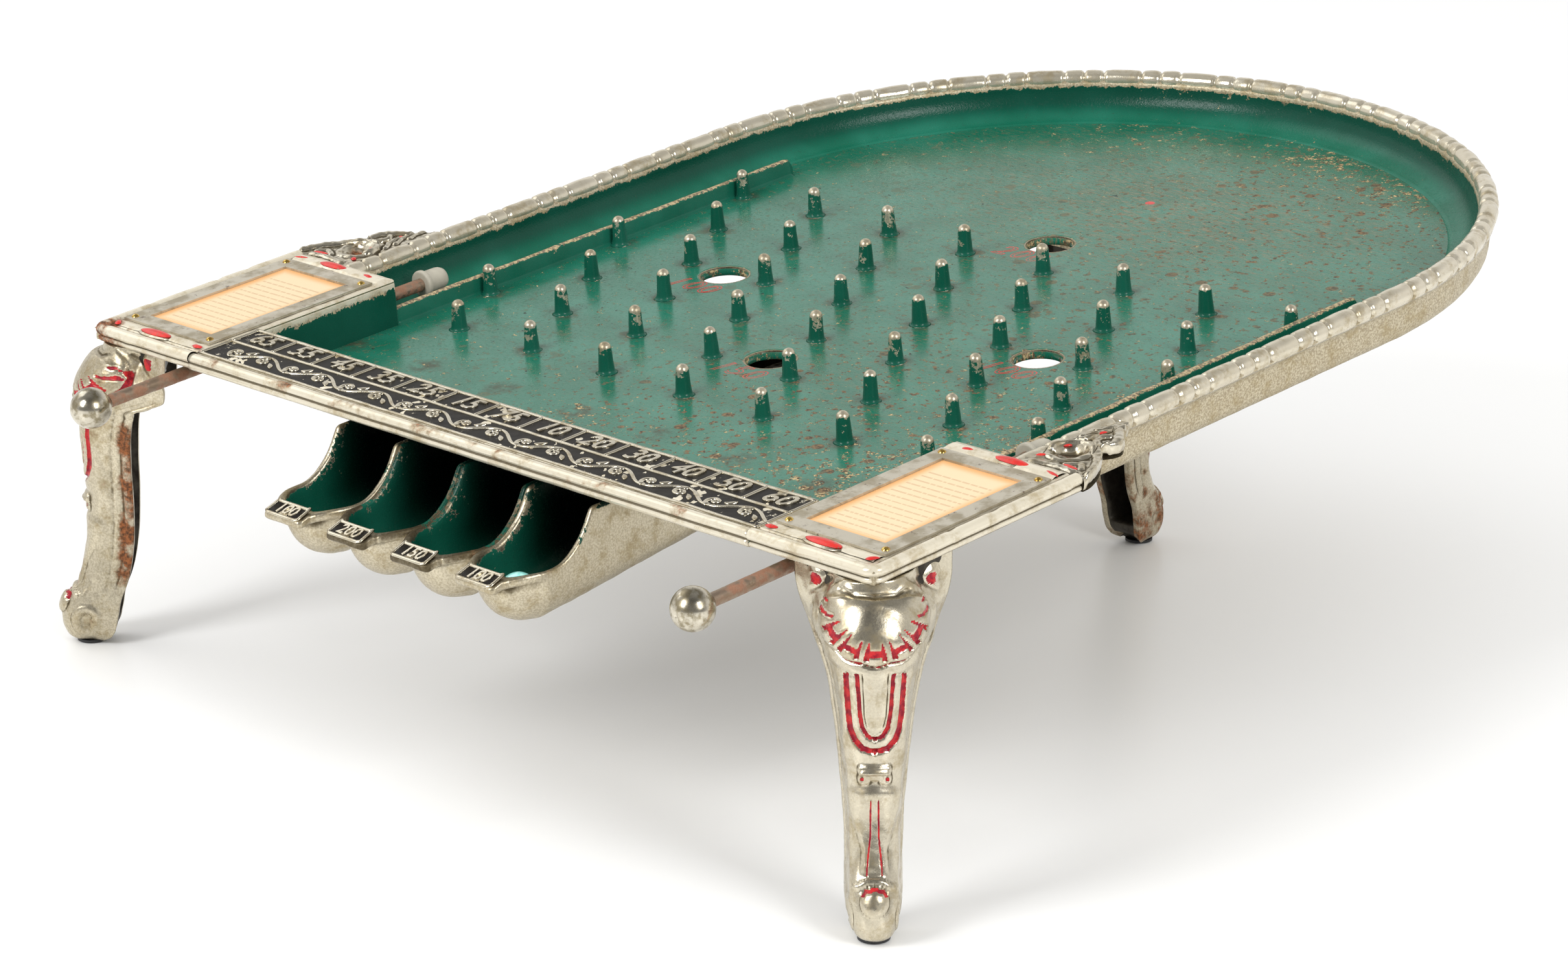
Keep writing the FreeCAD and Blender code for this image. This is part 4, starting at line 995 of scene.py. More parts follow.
def running_scrolls(y, z):
    """A traditional running scroll: an S stem, a volute and a leaf, turned over at every other step."""
    shapes = []
    count = 18
    pitch = (2 * play_half - 12) / count
    for k in range(count):
        x = -play_half + 6 + (k + 0.5) * pitch
        flip = 1 if k % 2 else -1
        turn = np.linspace(0, 2.35 * math.pi, 26)
        radius = 4.3 * np.exp(-0.21 * turn)
        vx = x + radius * np.cos(turn + math.pi / 2) * 1.05
        vy = y + flip * (radius * np.sin(turn + math.pi / 2) * 0.95 - 0.3)
        width = np.linspace(1.25, 0.55, 26)
        shapes.append(ribbon(level_path(vx, vy, z), width, 0.75))
        stem = np.linspace(0, 1, 16)
        sx = x + pitch * (stem - 0.02)
        sy = y + flip * 4.1 * np.cos(math.pi * stem)
        shapes.append(ribbon(level_path(sx, sy, z), 0.55 + 0.35 * np.sin(math.pi * stem), 0.7))
        leaf = np.linspace(0, 1, 12)
        lx = x + 4.6 + 4.0 * leaf
        ly = y - flip * (1.2 + 3.6 * leaf ** 1.5)
        shapes.append(ribbon(level_path(lx, ly, z), 0.25 + 1.0 * np.sin(math.pi * leaf), 0.7))
        shapes.append(lens(x - 0.1, y + flip * 0.1, z, 2.3, 2.3, 0.8))
    return shapes


# The two corner blocks
def block_height(x, y):
    """Height of the block's cast top: a sunk bed for the card, ridges round it and a rounded outer bar."""
    top = np.full_like(x, 21.75)
    rear = np.exp(-((y + 17.4) / 3.7) ** 4)
    top += 1.3 * rear * (0.84 + 0.16 * np.cos((x - 206) / 11.5))
    front = np.exp(-((y + 120.9) / 2.9) ** 4) * ramp(x, 173.5, 177.0)
    top += 0.9 * front * (0.82 + 0.18 * np.cos((x - 203) / 9.0))
    bed = ramp(x, 174.0, 177.0) * ramp(x, 231.5, 229.0) * ramp(y, -25.0, -27.0) * ramp(y, -116.5, -114.5)
    return top - 0.8 * bed


def make_block_underside(name):
    """The block's hollow underside, its rails thinned to the depth that the photograph shows."""
    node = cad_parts["corner_block_" + name]
    flat = BOARD.inverted()
    points = np.array([flat @ vertex.co for vertex in node.data.vertices], float) / MM
    in_rail = (np.abs(points[:, 0]) > wall_inner + 5.0) | (points[:, 1] < front_y + 10.5)
    points[in_rail, 2] = np.maximum(points[in_rail, 2], rail_edge + 0.1)
    top = points[:, 2] > block_top - 0.3
    points[top, 2] = block_top - 1.2
    for axis in (0, 1):
        outermost = np.abs(points[:, axis]) > (block_half - 1.5 if axis == 0 else -front_y - 1.5)
        points[outermost, axis] -= np.sign(points[outermost, axis]) * 2.0
    faces = [tuple(polygon.vertices) for polygon in node.data.polygons]
    made = piece("block_underside_" + name, (points, faces), SAND, masks={"wear": 0.1},
                 hollow=False, hides=["corner_block_" + name])
    made.data.set_sharp_from_angle(angle=math.radians(35))


def make_block(side, name):
    """A corner block: its underside, its face and its red cabochons."""
    inner, outer = play_half, block_half
    near, far = front_y, block_rear_y
    corner = 7.0
    # The outer bar and fascia, carried along the front, round the corner and back along the side
    section = [(2.4, rail_edge), (1.3, 15.7), (0.8, 16.4), (0.7, 17.2), (1.0, 17.8), (1.7, 18.1), (1.5, 18.4),
               (0.6, 18.9), (0.1, 19.8), (0.05, 20.8), (0.5, 21.8), (1.3, 22.6), (2.5, 23.0), (3.7, 22.9),
               (4.8, 22.4), (5.6, 21.6), (6.1, 21.1), (6.6, 21.0), (7.1, 21.4), (8.2, 21.7)]
    rings = []
    for distance, height in section:
        round_off = max(corner - distance, 0.25)
        cx, cy = outer - distance - round_off, near + distance + round_off
        line = [(x, near + distance) for x in np.linspace(inner, cx, 60)]
        line += [(cx + round_off * math.cos(turn), cy + round_off * math.sin(turn))
                 for turn in np.linspace(-math.pi / 2, 0, 12)[1:-1]]
        line += [(outer - distance, y) for y in np.linspace(cy, far, 70)]
        rings.append([(x, y, height) for x, y in line])
    bar_points, bar_faces = surface(np.array(rings))
    dents = np.clip(ripple(bar_points, 13.0, 80 + side) - 0.55, 0, 1) * 0.5
    bar_points[:, 2] -= dents * ramp(bar_points[:, 2], 14.5, 20.0)
    bar_points[:, 2] += ripple(bar_points, 20.0, 82) * 0.07
    # The top, as a field of heights, with its rounded drops to the playfield and to the ball lane
    us = np.concatenate([np.full(6, inner - coat), np.linspace(inner - coat, inner + 1.2, 5)[1:],
                         np.linspace(inner + 1.2, outer - 8.0, 76)[1:]])
    vs = np.concatenate([np.linspace(near + 8.0, far - 1.2, 140), np.linspace(far - 1.2, far + coat, 5)[1:],
                         np.full(5, far + coat)])
    xs, ys = np.meshgrid(us, vs, indexing="ij")
    zs = block_height(xs, ys)
    zs += ripple(np.stack([xs, ys, zs], axis=2).reshape(-1, 3), 7.0, 83).reshape(xs.shape) * 0.09
    drop_u = np.concatenate([np.linspace(-4.1, 19.4, 6), 21.9 - 1.2 * (1 - np.sqrt(np.linspace(0.2, 1, 4))),
                             np.full(len(us) - 10, 99.0)])
    drop_v = np.concatenate([np.full(140, 99.0), 22.6 - 1.2 * (1 - np.sqrt(np.linspace(0.9, 0.1, 4))),
                             np.linspace(18.4, -4.1, 5)])
    zs = np.minimum(np.minimum(zs, drop_u[:, None]), drop_v[None, :])
    zs = np.where(ys < strip_rear_y, np.maximum(zs, 18.0), zs)
    zs = np.where(xs > wall_inner + 4.5, np.maximum(zs, rail_edge), zs)
    field = np.stack([xs, ys, zs], axis=2)
    top_points, top_faces = surface(field)
    points, faces = merged([(bar_points, bar_faces), (top_points, top_faces)])
    is_wall = (points[:, 0] < inner + 0.4) | (points[:, 1] > far - 0.4)
    paint = np.where(is_wall, 1.0, 0.0) * ramp(points[:, 2], 20.8, 18.0) * (points[:, 0] < 200.5)
    wear = 0.10 + 0.25 * ramp(points[:, 2], 15.0, 20.0) * is_wall
    rust = 0.08 + (0.60 * spot(points, 236, -128, 16) + 0.10) * (side < 0)
    shape = sided((points, faces), side)
    make_block_underside(name)
    # The green on the block's walls is darkened as painted shade
    piece("block_face_" + name, shape, CAST,
          masks={"paint": paint, "wear": wear, "rust": rust, "tan": 0.7, "shade": 0.8})
    bezels, gems = [], []
    for x, y, length, width, angle in ((207.0, -17.6, 18.0, 5.6, 0.0), (204.5, -122.4, 19.5, 5.8, -1.0)):
        bezels.append(lens(x, y, block_top + 0.1, length + 3.4, width + 2.4, 1.3, angle))
        gems.append(lens(x, y, block_top + 0.9, length, width, 1.2, angle))
    for x, y, length, width, angle in ((183.5, -17.6, 6.0, 2.6, 0), (176.0, -122.4, 6.0, 3.2, 8),
                                       (230.6, -122.8, 5.2, 3.2, 48), (228.5, -17.8, 9.0, 1.9, -12)):
        gems.append(lens(x, y, block_top + 0.55, length, width, 0.7, angle, 0.10, int(x)))
    for label, shapes, material, slot in (("cabochon_bezels_", bezels, CAST, "nickel_casting"),
                                          ("cabochons_", gems, RED, None)):
        shape = merged(shapes)
        piece(label + name, sided(shape, side), material, hollow=False)


def make_cards(side, name):
    """The card's face, as a thin sheet with its edge glow and ruled rows as masks."""
    left, right, front, rear = card_box
    points, faces = sheet(np.linspace(left, right, 150), np.linspace(front, rear, 300), block_top - 0.06)
    points[:, 2] += ripple(points, 60.0, 90 + side) * 0.03
    border = 3.6
    window = [left + border, right - border, front + border, rear - border]
    near = np.minimum.reduce([points[:, 0] - window[0], window[1] - points[:, 0],
                              points[:, 1] - window[2], window[3] - points[:, 1]])
    glow = ramp(near, 7.0, -1.0)
    line_pitch, word_gap, word_margin = 4.4, 0.6, 4.0
    rows = (rear - 14 - points[:, 1]) / line_pitch
    row_share = rows - np.floor(rows)
    ruled = ((row_share > 0.3) & (row_share < 0.55) & (rows > 0) & (near > word_margin)).astype(float)
    source = np.random.default_rng(14)
    for row in range(int(rows.max()) + 1):
        here = np.floor(rows) == row
        place = window[0] + word_margin + source.uniform(0, 5)
        while place < window[1] - word_margin:
            word = source.uniform(1.5, 5.5)
            gap = here & (points[:, 0] > place + word) & (points[:, 0] < place + word + word_gap)
            ruled[gap] = 0
            place += word + word_gap
    ruled *= 0.42
    shape = sided((points, faces), side)
    piece("card_face_" + name, shape, CARD, hides=["instruction_card_" + name],
          masks={"edge": glow, "rules": ruled}, hollow=False)


# Plungers
def along_rod(profile, side, steps=40):
    """A profile of (radius, distance along the board) points turned about a plunger's axis."""
    turns = np.linspace(0, 2 * math.pi, steps, endpoint=False)
    rings = [[(side * plunger_x + radius * math.cos(turn), y, plunger_z + radius * math.sin(turn))
              for turn in turns] for radius, y in profile]
    return capped_tube(np.array(rings))


def make_plunger(side, name):
    """A ball knob, a pitted rod and a rubber tip."""
    body = "plunger_" + name
    ball = [(knob_radius * math.sin(turn), knob_centre_y - knob_radius * math.cos(turn))
            for turn in np.linspace(0.10, 2.72, 40)]
    knob = [(0.25, -184.4), (0.7, -184.5)] + ball + [(3.5, -167.3), (3.35, -166.6)]
    shape = along_rod(knob, side, 56)
    points = shape[0]
    points += (ripple(points, 8.0, 100 + side) * 0.03)[:, None]
    piece("ball_knob_" + name, shape, POLISHED, body, hides=["plunger_knob_" + name],
          hollow=False)
    run = np.linspace(-168.5, 20.2, 150)
    rod = along_rod([(rod_radius, y) for y in run], side, 24)
    pits = ripple(rod[0], 4.0, 110 + side) * 0.05 + ripple(rod[0], 1.7, 111 + side) * 0.03
    middle = np.array([side * plunger_x, 0, plunger_z])
    outward = (rod[0] - middle) * np.array([1, 0, 1])
    rod[0][:] += outward * np.minimum(pits, 0.02)[:, None] / 3
    piece("rod_" + name, rod, ROD, body, hides=["plunger_rod_" + name], hollow=False)
    tip = [(3.15, 14.5), (5.2, 14.4), (6.3, 14.6), (6.45, 15.1), (6.35, 16.3), (5.8, 16.9), (5.35, 17.5),
           (5.3, 22.0), (5.25, 24.4), (5.0, 26.0), (4.3, 27.5), (3.0, 28.4), (1.2, 28.75), (0.2, 28.8)]
    piece("rubber_" + name, along_rod(tip, side, 36), GREY_RUBBER, body,
          hides=["rubber_tip_" + name], hollow=False)


# Legs, drawn in a place of their own: u outwards from the corner, v across it and w up from the table.
# Each row: height, half width and place of the open back, half width and place of the shoulder, front.
leg_rows = [
    (1.2, 6.5, 2.5, 5.0, 11.0, 15.5), (2.8, 8.6, -0.6, 6.9, 12.2, 18.3),
    (5.0, 9.8, -2.5, 8.0, 13.0, 19.8), (12.0, 11.2, -4.7, 9.0, 14.0, 21.4),
    (21.0, 11.4, -6.5, 9.5, 12.0, 18.1), (30.0, 11.3, -10.0, 9.5, 6.0, 12.2),
    (45.0, 11.7, -13.1, 9.6, 2.5, 8.2), (65.0, 13.6, -14.3, 10.6, 1.5, 7.3),
    (86.0, 16.0, -14.2, 12.0, 1.5, 8.6), (102.0, 18.8, -15.2, 14.0, 1.0, 9.4),
    (109.0, 21.0, -16.8, 15.5, -1.2, 9.2), (113.5, 22.9, -19.0, 16.6, -3.2, 8.6),
    (115.6, 24.2, -25.5, 17.2, -4.4, 8.0), (117.6, 25.4, -30.2, 17.8, -6.0, 7.2),
    (121.0, 26.8, -31.6, 18.4, -9.4, 5.8), (127.0, 28.8, -31.2, 18.2, -15.0, 2.0),
    (134.0, 30.3, -32.5, 17.6, -20.6, -3.4), (141.0, 30.5, -33.0, 17.0, -22.4, -5.0),
    (160.0, 30.5, -33.0, 17.0, -22.4, -5.0)]
leg_leads = {"front_leg_right": (-45.0, 238.02, -254.88, rail_edge), "rear_leg": (90.0, 0.0, 169.34, -12.0),
             "front_leg_left": (-135.0, -238.02, -254.88, rail_edge)}
# The ornament is laid out as the camera sees it, from 18 degrees above
view_drop = math.tan(math.radians(18.0))
shell_height = 128.5
leg_wall = 3.2


def both(path):
    """A path and its mirror image."""
    return [path, [(-x, y) for x, y in path]]


def leg_relief(v, u, w, behind):
    """Height of the leg's ornament over its plain skin, with where it is red."""
    z = w - u * view_drop
    red = np.zeros_like(v)
    relief = np.zeros_like(v)
    front = ramp(behind, 6.0, 12.0)

    def carve(distance, half, depth, enamel=0.0, share=0.8):
        nonlocal red, relief
        relief = relief - depth * groove_of(distance, half)
        red = np.maximum(red, enamel * ramp(distance, half * share + 0.12, half * share - 0.12))

    # The shell: a polished dome, its fluted edge and the plain band round it
    across = np.hypot(v, z - shell_height)
    turn = np.arctan2(v, shell_height - z)
    lower = ramp(z, 138.5, 134.0)
    scallop = 19.3 + 0.45 * np.cos(turn * 360 / 31.5)
    relief = relief + 1.1 * ramp(across, 25.5, 22.5) * ramp(z, 137.0, 130.0)
    dome = 5.0 * np.sqrt(np.clip(1 - (across / 20.6) ** 2, 0, 1)) * (across < scallop)
    relief = relief + dome * (0.55 + 0.45 * lower)
    carve(np.where(z < 136.5, np.abs(across - scallop - 0.35), 9.0), 0.8, 0.8, 0.62, 0.7)
    inner = np.clip((across - 11.0) / 7.0, 0, 1)
    in_flute = (across > 10.8) & (across < 18.0)
    for pair in (-63.0, -31.5, 0.0, 31.5, 63.0):
        for side in (-1, 1):
            away = np.abs(turn - math.radians(pair + side * 10.0)) * across
            carve(np.where(in_flute, away, 9.0), 0.32 + 0.95 * inner, 1.1 * inner + 0.3, 1.0, 0.85)
        between = np.where((across > 14.2) & (across < 16.4), np.abs(turn - math.radians(pair)) * across, 9.0)
        carve(between, 2.6, 0.6, 1.0, 0.9)
    curl = [(15.0, 133.4), (15.8, 134.9), (17.6, 134.8), (18.9, 132.8), (19.4, 130.0), (19.6, 127.0)]
    for path in both(curl):
        carve(path_distance(v, z, path), 0.75, 0.8, 1.0, 0.8)
    for path in both([(17.6, 131.8), (16.6, 129.8), (15.2, 128.2), (13.6, 127.6)]):
        carve(path_distance(v, z, path), 0.9, 0.8, 1.0, 0.7)
    for side in (-1, 1):
        relief = relief + 1.3 * ramp(np.hypot(v - side * 13.2, (z - 137.0) * 0.9), 6.5, 2.0)
        lobe = np.hypot((v - side * 25.2) / 1.15, z - 145.0)
        relief = relief + 2.0 * ramp(lobe, 8.5, 3.0)
        dab = np.hypot((v - side * 23.4) / 1.35, z - 143.4)
        carve(dab, 3.3, 0.7, 1.0, 0.92)
    brow = [(-11.0, 139.5), (-7.4, 135.8), (0.0, 134.9), (7.4, 135.8), (11.0, 139.5)]
    carve(path_distance(v, z, brow), 1.5, 0.6)
    for path in both([(17.0, 143.5), (20.5, 140.3), (25.0, 138.2), (28.6, 139.6), (32.0, 143.0)]):
        carve(path_distance(v, z, path), 1.3, 0.8)

    # The two red grooves that hang from the shell, with the tongue between them
    shank = ramp(z, 106.5, 105.0)
    outer_u = [(11.4, 108.0), (10.6, 98.0), (10.1, 90.0), (9.3, 83.5), (7.6, 78.8), (4.6, 75.2), (0.0, 73.9)]
    inner_u = [(7.0, 106.0), (6.4, 98.0), (5.9, 90.0), (4.9, 84.0), (2.8, 80.2), (0.0, 79.0)]
    tongue = [(4.9, 106.0), (4.5, 96.0), (4.1, 88.0), (3.0, 83.4), (0.0, 81.4)]
    grooves = ((outer_u, 1.35, 1.2, 1.0), (inner_u, 1.0, 1.0, 1.0), (tongue, 0.42, 0.4, 0.0))
    for path, half, depth, enamel in grooves:
        for line in both(path):
            reach = np.where(shank > 0.5, path_distance(v, z, line), 9.0)
            carve(reach, half, depth, enamel, 0.85)
    relief = relief + 0.5 * ramp(np.abs(v), 13.4, 11.6) * ramp(z, 106.0, 104.0) * ramp(z, 66.0, 74.0)

    # The tie under them, the narrowing spine with its two red lines, and the toe
    bar = np.maximum(np.abs(v) - 5.0, 0)
    relief = relief + 1.7 * bump_of(np.hypot(bar, (z - 66.6) * 0.75), 1.5)
    knot = np.hypot(np.abs(v) - 3.9, z - 63.0)
    body = np.minimum(knot, np.hypot(np.maximum(np.abs(v) - 3.4, 0), (z - 64.2) * 1.2))
    relief = relief + 1.2 * ramp(body, 3.0, 1.9)
    carve(np.hypot(np.abs(v) - 4.6, z - 62.8), 0.95, 0.6, 1.0, 0.9)
    spine = np.interp(z, [20.0, 33.0, 36.0, 42.0, 50.0, 57.0], [4.6, 3.6, 4.2, 6.2, 8.6, 9.6])
    spine_ends = ramp(z, 61.0, 56.0) * ramp(z, 22.0, 27.0)
    relief = relief + 1.15 * ramp(np.abs(v), spine + 1.8, spine - 0.8) * spine_ends
    for path in both([(1.35, 54.0), (1.5, 39.0), (2.9, 23.4)]):
        carve(path_distance(v, z, path), 0.42, 0.35, 1.0, 0.85)
    toe = np.hypot(v / 5.6, (z - 12.6) / 6.3)
    relief = relief + 2.6 * bump_of(toe, 1.0)
    collar = [(-7.2, 18.8), (-5.6, 19.0), (-3.2, 20.6), (0.0, 21.2), (3.2, 20.6), (5.6, 19.0), (7.2, 18.8)]
    relief = relief + 1.1 * bump_of(path_distance(v, z, collar), 1.3)
    nail = [(-4.2, 15.2), (-3.4, 16.8), (0.0, 17.5), (3.4, 16.8), (4.2, 15.2)]
    carve(path_distance(v, z, nail), 1.1, 0.9, 1.0, 0.85)
    relief, red = relief * front, red * front

    # Ridges along the flank, and the scroll on the side of the foot
    along = ramp(w, 24.0, 32.0) * ramp(w, 121.0, 114.0)
    for place, depth in ((4.6, 0.4), (9.4, 0.25)):
        relief = relief - along * depth * groove_of(np.abs(behind - place), 1.2)
    relief = relief + 0.35 * along * bump_of(np.abs(behind - 2.2), 2.0)
    side = np.abs(v) > 7.5
    volute = np.hypot(u - 8.6, w - 12.4)
    swirl = 7.4 - 0.75 * np.mod(np.arctan2(w - 12.4, u - 8.6) + 2.0, 2 * math.pi)
    relief = relief + side * (0.6 * bump_of(np.abs(volute - swirl), 1.9) - 0.5 * ramp(volute, 5.0, 2.4))
    return relief, red


def leg_top(x, y, seat):
    """Where the underside of the board meets a leg, above the table."""
    angle = math.radians(board_slope)
    along = (y + board_shift + seat * math.sin(angle)) / math.cos(angle)
    return along * math.sin(angle) + seat * math.cos(angle) + board_height - 0.1


def leg_place(name, u, v):
    """A place in a leg's own drawing, as x and y in the room."""
    heading, x, y, _ = leg_leads[name]
    heading = math.radians(heading)
    return (x + u * math.cos(heading) - v * math.sin(heading),
            y + u * math.sin(heading) + v * math.cos(heading))


def make_leg_seat(name):
    """The thick plate inside the top of a leg that its two screws pull against the board."""
    seat = leg_leads[name][3]
    low = 4.6 if seat > 0 else seat - 5.0
    half = [(-31.5, 28.0), (-25.5, 22.5), (-20.0, 16.5), (-12.0, 12.5), (-8.5, 6.0)]
    outline = [(-31.5, -28.0)] + half + [(-8.0, 0.0)] + [(u, -v) for u, v in half[:0:-1]]
    rings = []
    for level in (low, low + 0.4, seat - 0.1):
        inset = 0.985 if level == low else 1.0
        places = [leg_place(name, u * inset, v * inset) for u, v in outline]
        rings.append([(px, py, leg_top(px, py, level)) for px, py in places])
    made = piece(name + "_seat", capped_tube(np.array(rings)), DARK_IRON, place=WORLD, hollow=False)
    made.data.set_sharp_from_angle(angle=math.radians(30))


def make_leg(name):
    """A cast leg: its skin carries the ornament; the back is open and lined."""
    _, x, y, seat = leg_leads[name]
    w = np.concatenate([np.arange(1.2, 104.0, 0.72), np.arange(104.0, 156.0, 0.55)])
    w = w[w < leg_top(x, y, seat) + (6.0 if seat > 0 else 2.0)]
    make_leg_seat(name)
    back_half, back, shoulder_half, shoulder, front = smooth_table(leg_rows, w).T[:, :, None]
    sag = front - shoulder
    radius = (shoulder_half ** 2 + sag ** 2) / (2 * sag)
    sweep = np.linspace(-1, 1, 97)[None, :] * 2 * np.arctan2(sag, shoulder_half)
    share = np.linspace(0, 1, 34)[None, 1:]
    flank_v = shoulder_half + (back_half - shoulder_half) * share
    flank_u = shoulder + (back - shoulder) * share
    v = np.concatenate([-flank_v[:, ::-1], radius * np.sin(sweep), flank_v], axis=1)
    u = np.concatenate([flank_u[:, ::-1], front - radius + radius * np.cos(sweep), flank_u], axis=1)
    for _ in range(5):
        v[:, 1:-1] = (v[:, :-2] + 2 * v[:, 1:-1] + v[:, 2:]) / 4
        u[:, 1:-1] = (u[:, :-2] + 2 * u[:, 1:-1] + u[:, 2:]) / 4
    grid = np.stack([u, v, np.broadcast_to(w[:, None], u.shape)], axis=2)
    normal = np.cross(np.gradient(grid, axis=0), np.gradient(grid, axis=1))
    normal /= np.linalg.norm(normal, axis=2)[:, :, None] + 1e-9
    middle = u.shape[1] // 2
    normal *= np.sign(normal[:, middle, 0])[:, None, None]
    step = np.hypot(np.diff(u, axis=1), np.diff(v, axis=1))
    run = np.concatenate([np.zeros((len(w), 1)), np.cumsum(step, axis=1)], axis=1)
    behind = np.minimum(run, run[:, -1:] - run)
    relief, red = leg_relief(v, u, grid[:, :, 2], behind)
    edge = ramp(behind, 0.0, 1.5)
    flat = grid.reshape(-1, 3)
    cast = (ripple(flat, 13.0, 201) * 0.14 + ripple(flat, 4.0, 202) * 0.05).reshape(relief.shape)
    outer = grid + normal * ((relief + cast) * edge)[:, :, None]
    columns = np.linspace(grid.shape[1] - 1, 0, 26).astype(int)
    inner = grid[:, columns] - normal[:, columns] * leg_wall
    inner[:, :, 0] = np.maximum(inner[:, :, 0], back)
    hollow = ramp(w, 10.0, 16.0)[:, None]
    inner[:, :, 0] = hollow * inner[:, :, 0] + (1 - hollow) * back
    inner[:, :, 1] *= 0.97
    whole = np.concatenate([outer, inner], axis=1)
    red = np.concatenate([red, np.zeros((len(w), len(columns)))], axis=1)
    skin, lining = np.zeros(relief.shape, bool), np.ones((len(w), len(columns)), bool)
    is_lining = np.concatenate([skin, lining], axis=1).ravel()
    points, faces = capped_tube(whole)
    lu, lv, lw = points.T
    world = np.stack([*leg_place(name, lu, lv), lw], axis=1)
    world[:, 2] = np.minimum(world[:, 2], leg_top(world[:, 0], world[:, 1], seat))
    world[:, 0] = np.clip(world[:, 0], -foot_reach, foot_reach)
    rust = np.full(len(points), 0.06)
    if name == "front_leg_left":
        rear = np.concatenate([behind, np.full((len(w), len(columns)), 20.0)], axis=1).ravel()
        rust += (0.32 * ramp(rear, 10.0, 4.0) * ramp(lw, 15, 45) * ramp(lw, 122, 96) + 0.24) * (lv > 0)
    if name == "rear_leg":
        rust += 0.3 + 0.2 * ramp(lw, 60, 10)
    finish = LEG if name == "front_leg_right" else WORN_LEG
    piece(name + "_cast", (world, faces), finish, place=WORLD, hides=[name],
          masks={"red": red.ravel(), "rust": rust, "wear": 0.04}, second=(DARK_IRON, is_lining))


